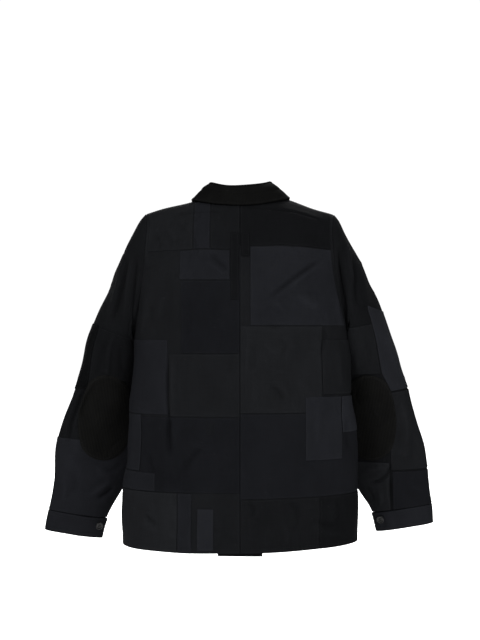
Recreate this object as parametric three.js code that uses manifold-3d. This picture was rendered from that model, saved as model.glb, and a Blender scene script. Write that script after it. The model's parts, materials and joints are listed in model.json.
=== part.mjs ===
// A patchwork jacket, filled out and held at the neck with no wearer in it.
//
// Frame, millimetres: +Z up, the jacket's front faces -Y, the wearer's left is +X. The origin lies midway
// between the two points where the shoulder seams meet the neck, which is where a wearer's neck holds it up.
//
// Every cloth piece is a thin wall. The body is four panels (two backs, two fronts) on one rounded form, with
// a neck hole, two armholes and a hem. Each sleeve is a tube that starts at its armhole and flattens towards
// the cuff. Patches are cut out of thin layers that are copies of the panels, moved out, so they never cross
// the panel under them.

import * as THREE from "three";
import { mergeVertices } from "three/addons/utils/BufferGeometryUtils.js";
import Module from "manifold-3d";

const wasm = await Module();
wasm.setup();

const jacket = new THREE.Group();

// ---------------------------------------------------------------- driving dimensions

const CLOTH = 1.2; // wall of a panel, sleeve or collar stand
const PATCH = 1.0; // wall of a sewn-on patch
const SEAM = 0.3; // clear distance between pieces that are sewn together
const LAYER_ONE = CLOTH + SEAM; // how far out the first layer of patches starts
const LAYER_TWO = LAYER_ONE + PATCH + SEAM; // patches that lie on other patches
const PATCH_INSET = 0.5; // each patch stops this far inside its outline

const HEM_Z = -701; // hem at the side seams, before its tilt and dip
const HEM_TILT = 0.018; // the hem hangs lower on the wearer's left
const HEM_DIP = 6; // and this much lower at its middle
const HEM_LEVEL_FROM_Z = -400; // both fade out above this height
const HEM_HALF_WIDTH = 236;
const WIDEST_Z = -545; // from here down to the hem the width stays the same
const CHEST_HALF_WIDTH = 219; // half the width at the underarm
const YOKE_HALF_WIDTH = 228; // half the width that the shoulder form would have with no armholes
const UNDERARM_Z = -285;
const BACK_DEPTH = 122; // the back panel's reach behind the frame's XZ plane
const FRONT_DEPTH = 117; // the front panel's reach before it
const HEM_FLARE = { depth: 9, fromZ: -500 }; // extra depth at the hem, front and back, from this height down
const ROUNDNESS = 2.4; // superellipse power of the body's section: 2 is an ellipse
const CHEST_BLEND = 200; // height above the underarm over which the section reaches the yoke's width

const NECK_X = 78; // half the neck hole's width
const BACK_NECK_DROP = 12; // how far the neck hole drops at the centre back
const FRONT_NECK_DROP = 75; // and at the centre front
const FRONT_NECK_CURVE = 0.7; // under 1 makes the front of the neck hole squarer than a parabola
const SHOULDER_TIP = { x: 190, z: -34 }; // outer end of the shoulder seam
const RIDGE_RISE = 15; // height of the shoulder form's ridge over the centre of the neck hole
const BACK_ROLL = 180; // distance below the ridge over which the back rounds into the shoulder
const FRONT_ROLL = 230; // the same for the front
const LEVEL_Z = -135; // rows below this height are level; rows above follow the shoulder
const ARMHOLE_WAIST = { x: 186, z: -80 }; // narrowest point of the back between the armholes
const ARMHOLE_CURVE = 1.9; // how sharply the armhole turns out to the underarm
const PLACKET = 18; // each front reaches this far past the centre front
const PLACKET_LIFT = CLOTH + SEAM + 0.1; // the left front rises by this to lie over the right one
const PATCH_TOP = -39; // patches stop at this row height, just short of the neck and shoulder seams

const SLEEVE_COLUMNS = 14; // facets round a sleeve; the armhole has the same
const BODY_COLUMNS = 7; // facets across one panel
const LOWER_ROWS = 6; // facets from the hem up to the underarm

const CUFF_WALL = 2.2; // a cuff is folded double
const CUFF_LAP = [4, 7]; // columns of the cuff where its outer end lies over its inner end
const CUFF_BUTTON_COLUMN = 5; // the button sits on the facet after this column
const CUFF_BUTTON_SHARE = 0.4; // and this far from the cuff's middle row towards its seam
const COLLAR_WALL = 2; // the collar leaf is two layers of napped cloth
const STAND_WALL = 1.6; // and so is the stand, pressed flatter
const STAND_HEIGHT = 29; // rise from the neck seam to the collar's fold
const COLLAR_COLUMNS = 22; // facets round the collar, from the centre front round to it again
const COLLAR_SPREAD = 101; // half the width across the leaf's lower edge at the shoulders
const COLLAR_BACK_Z = -24; // lower edge of the leaf at the centre back
const COLLAR_POINT = { x: 52, z: -112 }; // the leaf's front corner
const COLLAR_BULGE = 8; // how far the leaf's front edge bows out between the shoulder and that corner
const COLLAR_END = Math.PI * 0.994; // the collar's two ends stop just short of the centre front
const FOLD_IN = { x: 0.78, back: 0.88, front: 0.97 }; // the fold ring against the neck seam
const STAND_FOOT = { back: 2.4, front: 4.6 }; // the stand starts this far above the panels
const LEAF_OVER_STAND = 2.4; // the leaf passes over the stand at this height
const LEAF_LIFT = 4.6; // the leaf's clear height above the body
const LEAF_RISE = 0.4; // share of it that lifts the leaf's edge upright at the centre back and front
const LEAF_SHARES = [0, 0.35, 0.7, 1]; // the leaf's rows of points, from its lower edge to the fold

const BUTTON = { radius: 8, height: 3.2, rim: 1.2, sides: 12 };
const FRONT_BUTTON_Z = [-98, -216, -334, -452, -570];
// The ovals' half sizes, the height and distances out of their middles, and their lean with the sleeve.
const ELBOW_PATCH = { across: 54, along: 91, z: -453, lean: 0.12, left: 278, right: 269 };
// Half the strip's width, how far it shows below the hem and runs up inside it, and its wall's two sides.
const HEM_STRIP = { half: 44, below: 6, above: 26, from: -2.8, to: -1.6 };

// Sleeve stations from the armhole to the cuff's edge, for the wearer's left sleeve: the outer fold, the
// inner fold, and half the sleeve's thickness across the line between the two.
const SLEEVE = [
  { outer: [190, 0, -34], inner: [221, 0, -285], half: 76 },
  { outer: [214, -2, -57], inner: [223, -2, -290], half: 78 },
  { outer: [234, -5, -98], inner: [225, -6, -294], half: 79 },
  { outer: [257, -11, -150], inner: [227, -12, -300], half: 80 },
  { outer: [279, -20, -205], inner: [229, -20, -308], half: 81 },
  { outer: [302, -28, -265], inner: [232, -30, -322], half: 79 },
  { outer: [322, -36, -326], inner: [236, -54, -350], half: 70 },
  { outer: [343, -45, -388], inner: [221, -88, -400], half: 54 },
  { outer: [364, -55, -452], inner: [206, -99, -456], half: 42 },
  { outer: [383, -65, -521], inner: [213, -108, -526], half: 33 },
  { outer: [393, -76, -591], inner: [246, -102, -600], half: 27 },
  { outer: [400, -82, -649], inner: [280, -94, -669], half: 24 },
  { outer: [406, -88, -692], inner: [293, -92, -710], half: 22 },
];
const CUFF_SEAM = 11; // the station where the sleeve ends and the cuff starts
const CUFF_GAP = 0.01; // a little further along, worth a seam's clear distance
const WRIST_RISE = { mm: 15, fromStation: 8 }; // the right sleeve is bent more, so its cuff ends higher
const ARMHOLE_CLEARANCE = 2.6; // the sleeve starts this far outside the armhole's edge
const ARMHOLE_STATIONS = 3.5; // and takes its own section after this many stations
const SLEEVE_RINGS = [0, 0.6, 1.8, 3, 4.2, 5.4, 6.4, 7.2, 8.2, 9.2, 10.2, CUFF_SEAM]; // stations with a ring

// ---------------------------------------------------------------- small helpers

const clamp01 = (t) => Math.min(1, Math.max(0, t));
const smooth = (t) => clamp01(t) ** 2 * (3 - 2 * clamp01(t));
const range = (n) => [...Array(n).keys()];

// Catmull-Rom value of a list at a fractional index.
function along(list, at) {
  const i = Math.min(list.length - 2, Math.max(0, Math.floor(at)));
  const t = at - i;
  const pick = (k) => new THREE.Vector3(...list[Math.min(list.length - 1, Math.max(0, k))]);
  const [a, b, c, d] = [pick(i - 1), pick(i), pick(i + 1), pick(i + 2)];
  const value = (p, q, r, s) =>
    0.5 * (2 * q + (r - p) * t + (2 * p - 5 * q + 4 * r - s) * t * t + (3 * q - p - 3 * r + s) * t ** 3);
  return new THREE.Vector3(value(a.x, b.x, c.x, d.x), value(a.y, b.y, c.y, d.y), value(a.z, b.z, c.z, d.z));
}

function material(red, green, blue, roughness, metalness = 0) {
  return new THREE.MeshStandardMaterial({ color: new THREE.Color(red, green, blue), roughness, metalness });
}

const finishes = {
  shell: material(0.0103, 0.011, 0.0127, 0.82),
  pale: material(0.0144, 0.0152, 0.0176, 0.78),
  middle: material(0.011, 0.0116, 0.013, 0.8),
  dark: material(0.0086, 0.0091, 0.0103, 0.82),
  corduroy: material(0.0052, 0.0052, 0.0049, 0.95),
  button: material(0.012, 0.012, 0.013, 0.3),
};

function add(name, geometry, finish) {
  const mesh = new THREE.Mesh(geometry, finishes[finish]);
  mesh.name = name;
  jacket.add(mesh);
}

// ---------------------------------------------------------------- grids and walls

// Outward unit normals of a grid of points, grid[row][column]. A tube's columns close on themselves.
function normalsOf(grid, isTube) {
  const rows = grid.length;
  const columns = grid[0].length;
  const wrap = (c) => (isTube ? (c + columns) % columns : Math.min(columns - 1, Math.max(0, c)));
  const row = (r) => Math.min(rows - 1, Math.max(0, r));
  return grid.map((line, r) =>
    line.map((_, c) => {
      const across = grid[r][wrap(c + 1)].clone().sub(grid[r][wrap(c - 1)]);
      const up = grid[row(r + 1)][c].clone().sub(grid[row(r - 1)][c]);
      return across.cross(up).normalize();
    }),
  );
}

// A closed wall between two copies of a grid, moved out along its normals by `from` and `to`.
function wall(grid, normals, from, to, isTube) {
  const rows = grid.length;
  const columns = grid[0].length;
  const position = [];
  for (const lift of [to, from])
    grid.forEach((line, r) =>
      line.forEach((p, c) => position.push(...p.clone().addScaledVector(normals[r][c], lift).toArray())),
    );
  const outer = (r, c) => r * columns + (c % columns);
  const inner = (r, c) => rows * columns + outer(r, c);
  const index = [];
  const quad = (a, b, c, d) => index.push(a, b, c, a, c, d);
  const spans = isTube ? columns : columns - 1;
  for (const r of range(rows - 1))
    for (const c of range(spans)) {
      quad(outer(r, c), outer(r, c + 1), outer(r + 1, c + 1), outer(r + 1, c));
      index.push(inner(r, c), inner(r + 1, c + 1), inner(r, c + 1));
      index.push(inner(r, c), inner(r + 1, c), inner(r + 1, c + 1));
    }
  for (const c of range(spans)) {
    quad(inner(0, c), inner(0, c + 1), outer(0, c + 1), outer(0, c));
    quad(outer(rows - 1, c), outer(rows - 1, c + 1), inner(rows - 1, c + 1), inner(rows - 1, c));
  }
  if (!isTube)
    for (const r of range(rows - 1)) {
      const end = columns - 1;
      quad(outer(r, 0), outer(r + 1, 0), inner(r + 1, 0), inner(r, 0));
      quad(inner(r, end), inner(r + 1, end), outer(r + 1, end), outer(r, end));
    }
  return new THREE.BufferGeometry()
    .setAttribute("position", new THREE.Float32BufferAttribute(position, 3))
    .setIndex(index);
}

function mirrored(geometry) {
  const made = geometry.clone();
  const position = made.getAttribute("position");
  for (const i of range(position.count)) position.setX(i, -position.getX(i));
  const index = made.getIndex().array;
  for (let i = 0; i < index.length; i += 3) [index[i + 1], index[i + 2]] = [index[i + 2], index[i + 1]];
  return made;
}

function toSolid(geometry) {
  const bare = new THREE.BufferGeometry().setAttribute("position", geometry.getAttribute("position"));
  if (geometry.index) bare.setIndex(geometry.index);
  const merged = mergeVertices(bare, 1e-4);
  return new wasm.Manifold(
    new wasm.Mesh({
      numProp: 3,
      vertProperties: new Float32Array(merged.attributes.position.array),
      triVerts: new Uint32Array(merged.index.array),
    }),
  );
}

function toGeometry(solid) {
  const mesh = solid.getMesh();
  return new THREE.BufferGeometry()
    .setAttribute("position", new THREE.BufferAttribute(mesh.vertProperties, 3))
    .setIndex(new THREE.BufferAttribute(mesh.triVerts, 1));
}

// A flat button with a raised rim, standing on the cloth at `place` and facing along `normal`.
function button(place, normal) {
  const { radius, height, rim, sides } = BUTTON;
  const profile = [
    [0, 0],
    [radius - rim, 0],
    [radius, rim],
    [radius - rim / 2, height],
    [radius - 2 * rim, height - rim],
    [0, height - rim],
  ];
  const made = new THREE.LatheGeometry(profile.map((p) => new THREE.Vector2(...p)), sides);
  const turn = new THREE.Quaternion().setFromUnitVectors(new THREE.Vector3(0, 1, 0), normal);
  return made.applyQuaternion(turn).translate(...place.clone().addScaledVector(normal, SEAM).toArray());
}

// ---------------------------------------------------------------- the body's form

function halfWidth(z) {
  const up = smooth((z - UNDERARM_Z) / CHEST_BLEND);
  const down = smooth((UNDERARM_Z - z) / (UNDERARM_Z - WIDEST_Z));
  const toYoke = YOKE_HALF_WIDTH - CHEST_HALF_WIDTH;
  const toHem = HEM_HALF_WIDTH - CHEST_HALF_WIDTH;
  return CHEST_HALF_WIDTH + toYoke * up + toHem * down;
}

function depth(face, z) {
  const flare = smooth((HEM_FLARE.fromZ - z) / (HEM_FLARE.fromZ - HEM_Z));
  return (face > 0 ? BACK_DEPTH : FRONT_DEPTH) + HEM_FLARE.depth * flare;
}

// Height of the shoulder form's ridge at a distance from the centre.
function ridge(x) {
  const slope = SHOULDER_TIP.z / (SHOULDER_TIP.x - NECK_X);
  return x > NECK_X ? (x - NECK_X) * slope : RIDGE_RISE * (1 - (x / NECK_X) ** 2);
}

// Top edge of a panel: the neck hole, then the shoulder seam. face is 1 for the back and -1 for the front.
function topEdge(face, x) {
  if (x >= NECK_X) return ridge(x);
  const drop = 1 - (x / NECK_X) ** 2;
  return face > 0 ? -BACK_NECK_DROP * drop : -FRONT_NECK_DROP * drop ** FRONT_NECK_CURVE;
}

// Where a panel ends at a height: the armhole, and below the underarm the side seam.
function sideEdge(z) {
  if (z <= UNDERARM_Z) return halfWidth(z);
  const drop = (ARMHOLE_WAIST.z - z) / (ARMHOLE_WAIST.z - UNDERARM_Z);
  if (drop > 0) return ARMHOLE_WAIST.x + (CHEST_HALF_WIDTH - ARMHOLE_WAIST.x) * drop ** ARMHOLE_CURVE;
  const rise = (z - ARMHOLE_WAIST.z) / (SHOULDER_TIP.z - ARMHOLE_WAIST.z);
  return ARMHOLE_WAIST.x + (SHOULDER_TIP.x - ARMHOLE_WAIST.x) * rise ** 2;
}

// A point of the body's surface at a width and a height.
function bodyPoint(face, x, z) {
  const flat = (1 - Math.min(1, Math.abs(x) / halfWidth(z)) ** ROUNDNESS) ** (1 / ROUNDNESS);
  const fall = clamp01((ridge(Math.abs(x)) - z) / (face > 0 ? BACK_ROLL : FRONT_ROLL));
  const y = depth(face, z) * flat * Math.sqrt(1 - (1 - fall) ** 2);
  return new THREE.Vector3(x, face * (y + SEAM / 2), z);
}

// Share of the way from the centre to the side edge, for an even step round the body's section.
const spread = (u) => Math.sin((u * Math.PI) / 2) ** (2 / ROUNDNESS);

// Height at a width x of the row that meets the side edge at the height `level`.
function rowHeight(face, x, level) {
  const rise = (level - LEVEL_Z) / (SHOULDER_TIP.z - LEVEL_Z);
  return rise > 0 ? LEVEL_Z + rise * (topEdge(face, Math.abs(x)) - LEVEL_Z) : level;
}

// How much a row drops at a place across the body, where x is positive on the wearer's left.
function rowDrop(x, level) {
  const fade = clamp01((HEM_LEVEL_FROM_Z - level) / (HEM_LEVEL_FROM_Z - HEM_Z));
  return fade * (HEM_TILT * x + HEM_DIP * (1 - (x / HEM_HALF_WIDTH) ** 2));
}

// ---------------------------------------------------------------- panels

// Row heights at the armhole come from the sleeve's own columns, so that the two edges match.
const ARMHOLE_MIDDLE = (SHOULDER_TIP.z + UNDERARM_Z) / 2;
const ARMHOLE_HALF = (SHOULDER_TIP.z - UNDERARM_Z) / 2;
const armholeLevel = (angle) => ARMHOLE_MIDDLE + ARMHOLE_HALF * Math.cos(angle);
const levels = [
  ...range(LOWER_ROWS).map((i) => HEM_Z + ((UNDERARM_Z - HEM_Z) * i) / LOWER_ROWS),
  ...range(SLEEVE_COLUMNS / 2 + 1).map((i) => armholeLevel(Math.PI - (2 * Math.PI * i) / SLEEVE_COLUMNS)),
];

// A panel of one side (1 is the wearer's left). inner is where it starts beside the centre line, and a lap
// adds one more column past the centre.
function panelGrid({ face, side, inner, lap }) {
  const shares = range(BODY_COLUMNS + 1).map((i) => spread(i / BODY_COLUMNS));
  const grid = levels.map((level) => {
    const widths = shares.map((share) => inner + (sideEdge(level) - inner) * share);
    return [...(lap ? [-lap] : []), ...widths].map((x) => {
      const p = bodyPoint(face, x, rowHeight(face, x, level));
      return new THREE.Vector3(side * p.x, p.y, p.z - rowDrop(side * x, level));
    });
  });
  // Columns run so that the outward side of the surface is the same for every panel.
  return face * side > 0 ? grid.map((line) => [...line].reverse()) : grid;
}

const panels = {
  back_left: { face: 1, side: 1, inner: SEAM / 2, lap: 0 },
  back_right: { face: 1, side: -1, inner: SEAM / 2, lap: 0 },
  front_left: { face: -1, side: 1, inner: PLACKET, lap: PLACKET },
  front_right: { face: -1, side: -1, inner: PLACKET, lap: PLACKET },
};
for (const [name, panel] of Object.entries(panels)) {
  panel.grid = panelGrid(panel);
  panel.normals = normalsOf(panel.grid, false);
  if (name === "front_left")
    panel.grid.forEach((line, r) =>
      line.forEach((p, c) => {
        if (p.x <= PLACKET) p.addScaledVector(panel.normals[r][c], PLACKET_LIFT);
      }),
    );
  add(name, wall(panel.grid, panel.normals, 0, CLOTH, false), "shell");
}

// ---------------------------------------------------------------- patches on the body

// Each patch: the panel it lies on, where it starts and ends across the panel, its lower and upper row (a row
// is named by its height at the side edge), its layer and its shade. A width is a distance from the centre
// line, or a negative one from the panel's side edge, and EDGE takes the patch right to it.
const EDGE = 999;
const NEAR_EDGE = -5;
const BODY_PATCHES = {
  patch_shoulder_left: ["back_left", 93, NEAR_EDGE, -116, PATCH_TOP, 1, "middle"],
  patch_tall_left: ["back_left", 59, 92, -116, PATCH_TOP, 1, "pale"],
  patch_wide_left: ["back_left", 20, 119, -171, -117, 1, "pale"],
  patch_neck_left: ["back_left", 0, 58, -116, PATCH_TOP, 1, "middle"],
  patch_strip_left: ["back_left", 2, 19, -211, -88, 2, "dark"],
  patch_middle_left: ["back_left", 0, 116, -316, -172, 1, "dark"],
  patch_flank_left: ["back_left", 143, EDGE, -437, -289, 1, "pale"],
  patch_square_left: ["back_left", 0, 142, -440, -317, 1, "middle"],
  patch_dark_left: ["back_left", 0, 203, -586, -441, 1, "dark"],
  patch_side_left: ["back_left", 204, EDGE, -549, -438, 1, "pale"],
  patch_corner_left: ["back_left", 169, EDGE, -586, -550, 2, "pale"],
  patch_hem_left: ["back_left", 124, EDGE, HEM_Z, -587, 1, "pale"],
  patch_hem_slim_left: ["back_left", 95, 123, HEM_Z, -587, 1, "pale"],
  patch_hem_small_left: ["back_left", 52, 84, HEM_Z + 5, -616, 1, "pale"],
  patch_yoke_right: ["back_right", 0, NEAR_EDGE, -110, PATCH_TOP, 1, "dark"],
  patch_strip_right: ["back_right", 2, 19, -127, -88, 2, "dark"],
  patch_big_right: ["back_right", 20, NEAR_EDGE, -261, -111, 1, "pale"],
  patch_middle_right: ["back_right", 0, 162, -433, -262, 1, "pale"],
  patch_flank_right: ["back_right", 163, EDGE, -398, -289, 1, "middle"],
  patch_wide_right: ["back_right", 0, EDGE, -598, -434, 1, "middle"],
  patch_pale_right: ["back_right", 128, 199, -527, -402, 2, "pale"],
  patch_pale_side_right: ["back_right", 200, EDGE, -475, -402, 2, "pale"],
  patch_hem_right: ["back_right", 0, 156, HEM_Z, -599, 1, "dark"],
  patch_hem_side_right: ["back_right", 157, EDGE, HEM_Z, -599, 1, "dark"],
  patch_chest_left: ["front_left", 88, NEAR_EDGE, -232, -86, 1, "pale"],
  patch_waist_left: ["front_left", 80, 190, -470, -318, 1, "middle"],
  patch_front_hem_left: ["front_left", 124, EDGE, -640, -520, 1, "dark"],
  patch_chest_right: ["front_right", 84, 170, -276, -124, 1, "dark"],
  patch_waist_right: ["front_right", 116, EDGE, -452, -330, 1, "middle"],
  patch_front_hem_right: ["front_right", 76, 178, -648, -498, 1, "pale"],
};
const PRISM_REACH = 300; // how far a patch's cutter reaches along Y
const OUTSIDE = 30; // how far it reaches past an edge where the patch runs to the panel's own edge
const OUTLINE_STEPS = 3; // straight pieces along an outline's upper and lower side
const ROW_CLEAR = 2; // an outline's sides follow the panel's rows that are this far inside its ends

// The patch's outline in the view from behind, as a shape that the layer is cut with.
function patchOutline({ face, side, lap }, from, to, low, high) {
  const across = (width, level) => (width < 0 ? sideEdge(level) + width : Math.min(width, sideEdge(level)));
  const point = (share, level) => {
    const [start, end] = [across(from, level) + PATCH_INSET, across(to, level) - PATCH_INSET];
    let x = start + (end - start) * share;
    if (share === 0 && from === 0 && !lap) x -= OUTSIDE;
    if (share === 1 && to === EDGE) x += OUTSIDE;
    const z = rowHeight(face, x, level) - rowDrop(side * x, level);
    if (level === high) return new THREE.Vector2(side * x, z - PATCH_INSET);
    if (level === low) return new THREE.Vector2(side * x, z + (low === HEM_Z ? -OUTSIDE : PATCH_INSET));
    return new THREE.Vector2(side * x, z);
  };
  const rows = levels.filter((level) => level > low + ROW_CLEAR && level < high - ROW_CLEAR);
  const shares = range(OUTLINE_STEPS + 1).map((i) => i / OUTLINE_STEPS);
  return new THREE.Shape([
    ...shares.map((share) => point(share, low)),
    ...rows.map((level) => point(1, level)),
    ...[...shares].reverse().map((share) => point(share, high)),
    ...rows.reverse().map((level) => point(0, level)),
  ]);
}

function cutter(shape, face) {
  const prism = new THREE.ExtrudeGeometry(shape, { depth: PRISM_REACH, bevelEnabled: false });
  prism.rotateX(Math.PI / 2); // the shape's y becomes z, and the prism runs towards -Y
  if (face > 0) prism.translate(0, PRISM_REACH, 0);
  return toSolid(prism);
}

for (const [name, [panelName, from, to, low, high, layer, shade]] of Object.entries(BODY_PATCHES)) {
  const panel = panels[panelName];
  const start = layer === 1 ? LAYER_ONE : LAYER_TWO;
  const sheet = toSolid(wall(panel.grid, panel.normals, start, start + PATCH, false));
  const outline = patchOutline(panel, from, to, low, high);
  add(name, toGeometry(sheet.intersect(cutter(outline, panel.face))), shade);
}

// ---------------------------------------------------------------- sleeves

const LAST_STATION = SLEEVE.length - 1;

// The sleeve's outer or inner fold at a station. side is 1 for the wearer's left and -1 for the right.
function foldLine(side, fold, station) {
  const p = along(SLEEVE.map((s) => s[fold]), station);
  const bent = smooth((station - WRIST_RISE.fromStation) / (LAST_STATION - WRIST_RISE.fromStation));
  return side < 0 ? p.setZ(p.z + WRIST_RISE.mm * bent) : p;
}
const halfThickness = (station) => along(SLEEVE.map((s) => [s.half, 0, 0]), station).x;
function middleOf(side, station) {
  return foldLine(side, "outer", station).lerp(foldLine(side, "inner", station), 0.5);
}

// A ring of a sleeve at a station: an ellipse from the outer to the inner fold, going round by the back. Near
// the armhole it runs over into the armhole's own edge. Both sleeves are worked out on the wearer's left.
function sleeveRing(side, station) {
  const middle = middleOf(side, station);
  const wide = foldLine(side, "outer", station).sub(middle);
  const backward = new THREE.Vector3(0, 1, 0);
  backward.addScaledVector(wide, -backward.dot(wide) / wide.lengthSq()).normalize();
  return range(SLEEVE_COLUMNS).map((c) => {
    const angle = (2 * Math.PI * c) / SLEEVE_COLUMNS;
    const ellipse = middle.clone().addScaledVector(wide, Math.cos(angle));
    ellipse.addScaledVector(backward, halfThickness(station) * Math.sin(angle));
    const level = armholeLevel(angle);
    const armhole = bodyPoint(c <= SLEEVE_COLUMNS / 2 ? 1 : -1, sideEdge(level), level);
    if (c % (SLEEVE_COLUMNS / 2) === 0) armhole.y = 0;
    armhole.x += ARMHOLE_CLEARANCE;
    return armhole.sub(middleOf(side, 0)).add(middle).lerp(ellipse, smooth(station / ARMHOLE_STATIONS));
  });
}

// What an outline cuts out of a layer over the sleeve. An outline inside the sleeve's edges cuts two pieces,
// and the one at the back is kept.
function sleevePatch({ grid, normals }, shape, start) {
  const layer = toSolid(wall(grid, normals, start, start + PATCH, true));
  const prism = new THREE.ExtrudeGeometry(shape, { depth: 2 * PRISM_REACH, bevelEnabled: false });
  prism.rotateX(Math.PI / 2).translate(0, PRISM_REACH, 0);
  const pieces = layer.intersect(toSolid(prism)).decompose();
  return toGeometry(pieces.sort((a, b) => b.boundingBox().max[1] - a.boundingBox().max[1])[0]);
}

// A cuff is a doubled band wound once round the wrist. Its outer end lies over its inner end.
function cuffBand(side) {
  const stations = [LAST_STATION, CUFF_SEAM + 0.5, CUFF_SEAM + CUFF_GAP];
  const rings = stations.map((station) => sleeveRing(side, station));
  const [first, last] = [CUFF_LAP[0], SLEEVE_COLUMNS + CUFF_LAP[1]];
  const columns = range(last - first + 1).map((i) => i + first);
  const unwind = (rows) => rows.map((row) => columns.map((c) => row[c % SLEEVE_COLUMNS].clone()));
  const normals = unwind(normalsOf(rings, true));
  const grid = unwind(rings);
  grid.forEach((row, r) =>
    row.forEach((p, i) => {
      if (i >= SLEEVE_COLUMNS) p.addScaledVector(normals[r][i], CUFF_WALL + SEAM);
    }),
  );
  return { grid, normals };
}

// Shades, and outlines in the view from behind, worked out on the wearer's left. A side that lies past the
// sleeve's fold takes the patch round to the front of the sleeve.
const SLEEVE_PATCHES = {
  left: {
    patch_strip_sleeve_left: ["dark", [[287, -262], [340, -250], [395, -395], [318, -392]]],
    patch_upper_sleeve_left: [
      "dark",
      [[236, -283], [255, -276], [284, -266], [309, -366], [296, -374], [236, -374]],
    ],
    patch_forearm_left: ["pale", [[180, -506], [430, -492], [440, -636], [230, -664]]],
  },
  right: {
    patch_strip_sleeve_right: [
      "pale",
      [[256, -221], [330, -246], [380, -386], [311, -396], [290, -359], [270, -277]],
    ],
    patch_upper_sleeve_right: ["middle", [[236, -263], [265, -258], [268, -277], [287, -358], [236, -362]]],
    patch_elbow_side_right: ["middle", [[309, -400], [385, -390], [430, -556], [316, -564]]],
    patch_wrist_outer_right: ["middle", [[319, -568], [430, -560], [430, -622], [322, -641]]],
    patch_wrist_inner_right: ["dark", [[190, -545], [312, -549], [316, -642], [240, -653]]],
  },
};

function addSleeve(name, side) {
  const put = (part, geometry, finish) => add(part, side > 0 ? geometry : mirrored(geometry), finish);
  // Tubes run from the cuff up, so that the same winding faces out as on the panels.
  const grid = [...SLEEVE_RINGS].reverse().map((station) => sleeveRing(side, station));
  const sleeve = { grid, normals: normalsOf(grid, true) };
  put(`sleeve_${name}`, wall(grid, sleeve.normals, 0, CLOTH, true), "shell");
  for (const [patch, [shade, corners]] of Object.entries(SLEEVE_PATCHES[name])) {
    const outline = new THREE.Shape(corners.map((corner) => new THREE.Vector2(...corner)));
    put(patch, sleevePatch(sleeve, outline, LAYER_ONE), shade);
  }
  const { across, along: length, z, lean } = ELBOW_PATCH;
  const oval = new THREE.Shape();
  oval.absellipse(ELBOW_PATCH[name], z, across, length, 0, 2 * Math.PI, false, lean);
  put(`elbow_patch_${name}`, sleevePatch(sleeve, oval, LAYER_TWO), "corduroy");
  const cuff = cuffBand(side);
  put(`cuff_${name}`, wall(cuff.grid, cuff.normals, 0, CUFF_WALL, false), "shell");

  // The cuff's button, on one facet of its lap, a little nearer the seam than the edge.
  const facet = CUFF_BUTTON_COLUMN + SLEEVE_COLUMNS - CUFF_LAP[0];
  const middleIn = (row) => row[facet].clone().lerp(row[facet + 1], 0.5);
  const place = middleIn(cuff.grid[1]).lerp(middleIn(cuff.grid[2]), CUFF_BUTTON_SHARE);
  const normal = middleIn(cuff.normals[1]);
  put(`cuff_button_${name}`, button(place.addScaledVector(normal, CUFF_WALL), normal.normalize()), "button");
}

// ---------------------------------------------------------------- collar

// The neck seam at an angle: 0 at the centre back, 90 degrees at the wearer's left shoulder, 180 at the
// centre front.
function neckSeam(angle) {
  const x = NECK_X * Math.abs(Math.sin(angle));
  const face = Math.cos(angle) > 0 ? 1 : -1;
  const p = bodyPoint(face, x, topEdge(face, x));
  p.x *= Math.sign(Math.sin(angle)) || 1;
  return p;
}

// Where the collar folds over: up from the neck seam, and a little way in.
function fold(angle) {
  const p = neckSeam(angle);
  const toBack = (1 + Math.cos(angle)) / 2;
  const inY = FOLD_IN.front + (FOLD_IN.back - FOLD_IN.front) * toBack;
  return new THREE.Vector3(p.x * FOLD_IN.x, p.y * inY, p.z + STAND_HEIGHT);
}

// The leaf's lower edge: level round the back, then down over the chest to the leaf's front corner.
function leafEdge(angle) {
  const shoulderZ = ridge(COLLAR_SPREAD);
  const turn = Math.abs(Math.sin(angle));
  if (Math.cos(angle) >= 0) {
    const z = COLLAR_BACK_Z + (shoulderZ - COLLAR_BACK_Z) * turn ** 2;
    return { x: COLLAR_SPREAD * turn, z, face: 1 };
  }
  const t = (Math.abs(angle) - Math.PI / 2) / (Math.PI / 2);
  const x = COLLAR_SPREAD + (COLLAR_POINT.x - COLLAR_SPREAD) * t + COLLAR_BULGE * Math.sin(Math.PI * t);
  return { x, z: shoulderZ + (COLLAR_POINT.z - shoulderZ) * t, face: -1 };
}

// A point of the leaf, a share of the way from its lower edge to the fold, held off the body and its patches.
function leafPoint(angle, share) {
  const { x, z, face } = leafEdge(angle);
  const [sine, cosine] = [Math.sin(angle), Math.cos(angle)];
  const top = fold(angle).add(new THREE.Vector3(sine / 2, cosine / 2, 1).multiplyScalar(LEAF_OVER_STAND));
  const low = bodyPoint(face, x, z);
  low.x *= sine < 0 ? -1 : 1;
  low.y += LEAF_LIFT * cosine;
  low.z += LEAF_LIFT * (LEAF_RISE + (1 - LEAF_RISE) * Math.abs(sine));
  const p = low.lerp(top, share);
  if (share === 0 || share === 1) return p;
  const under = Math.min(p.z, topEdge(face, Math.abs(p.x)));
  const body = bodyPoint(face, Math.abs(p.x), under);
  const reach = Math.max(Math.abs(p.y), Math.abs(body.y) + LEAF_LIFT * Math.abs(cosine));
  return p.setY(reach * face);
}

const collarAngles = range(COLLAR_COLUMNS + 1).map((i) => COLLAR_END * (1 - (2 * i) / COLLAR_COLUMNS));
const standFoot = (angle) => {
  const above = STAND_FOOT.back + (STAND_FOOT.front - STAND_FOOT.back) * smooth(-Math.cos(angle));
  return neckSeam(angle).add(new THREE.Vector3(0, 0, above));
};
const standGrid = [collarAngles.map(standFoot), collarAngles.map(fold)];
const leafGrid = LEAF_SHARES.map((share) => collarAngles.map((angle) => leafPoint(angle, share)));
add("collar_stand", wall(standGrid, normalsOf(standGrid, false), 0, STAND_WALL, false), "corduroy");
add("collar_leaf", wall(leafGrid, normalsOf(leafGrid, false), 0, COLLAR_WALL, false), "corduroy");

// ---------------------------------------------------------------- hem strip and buttons

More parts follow.
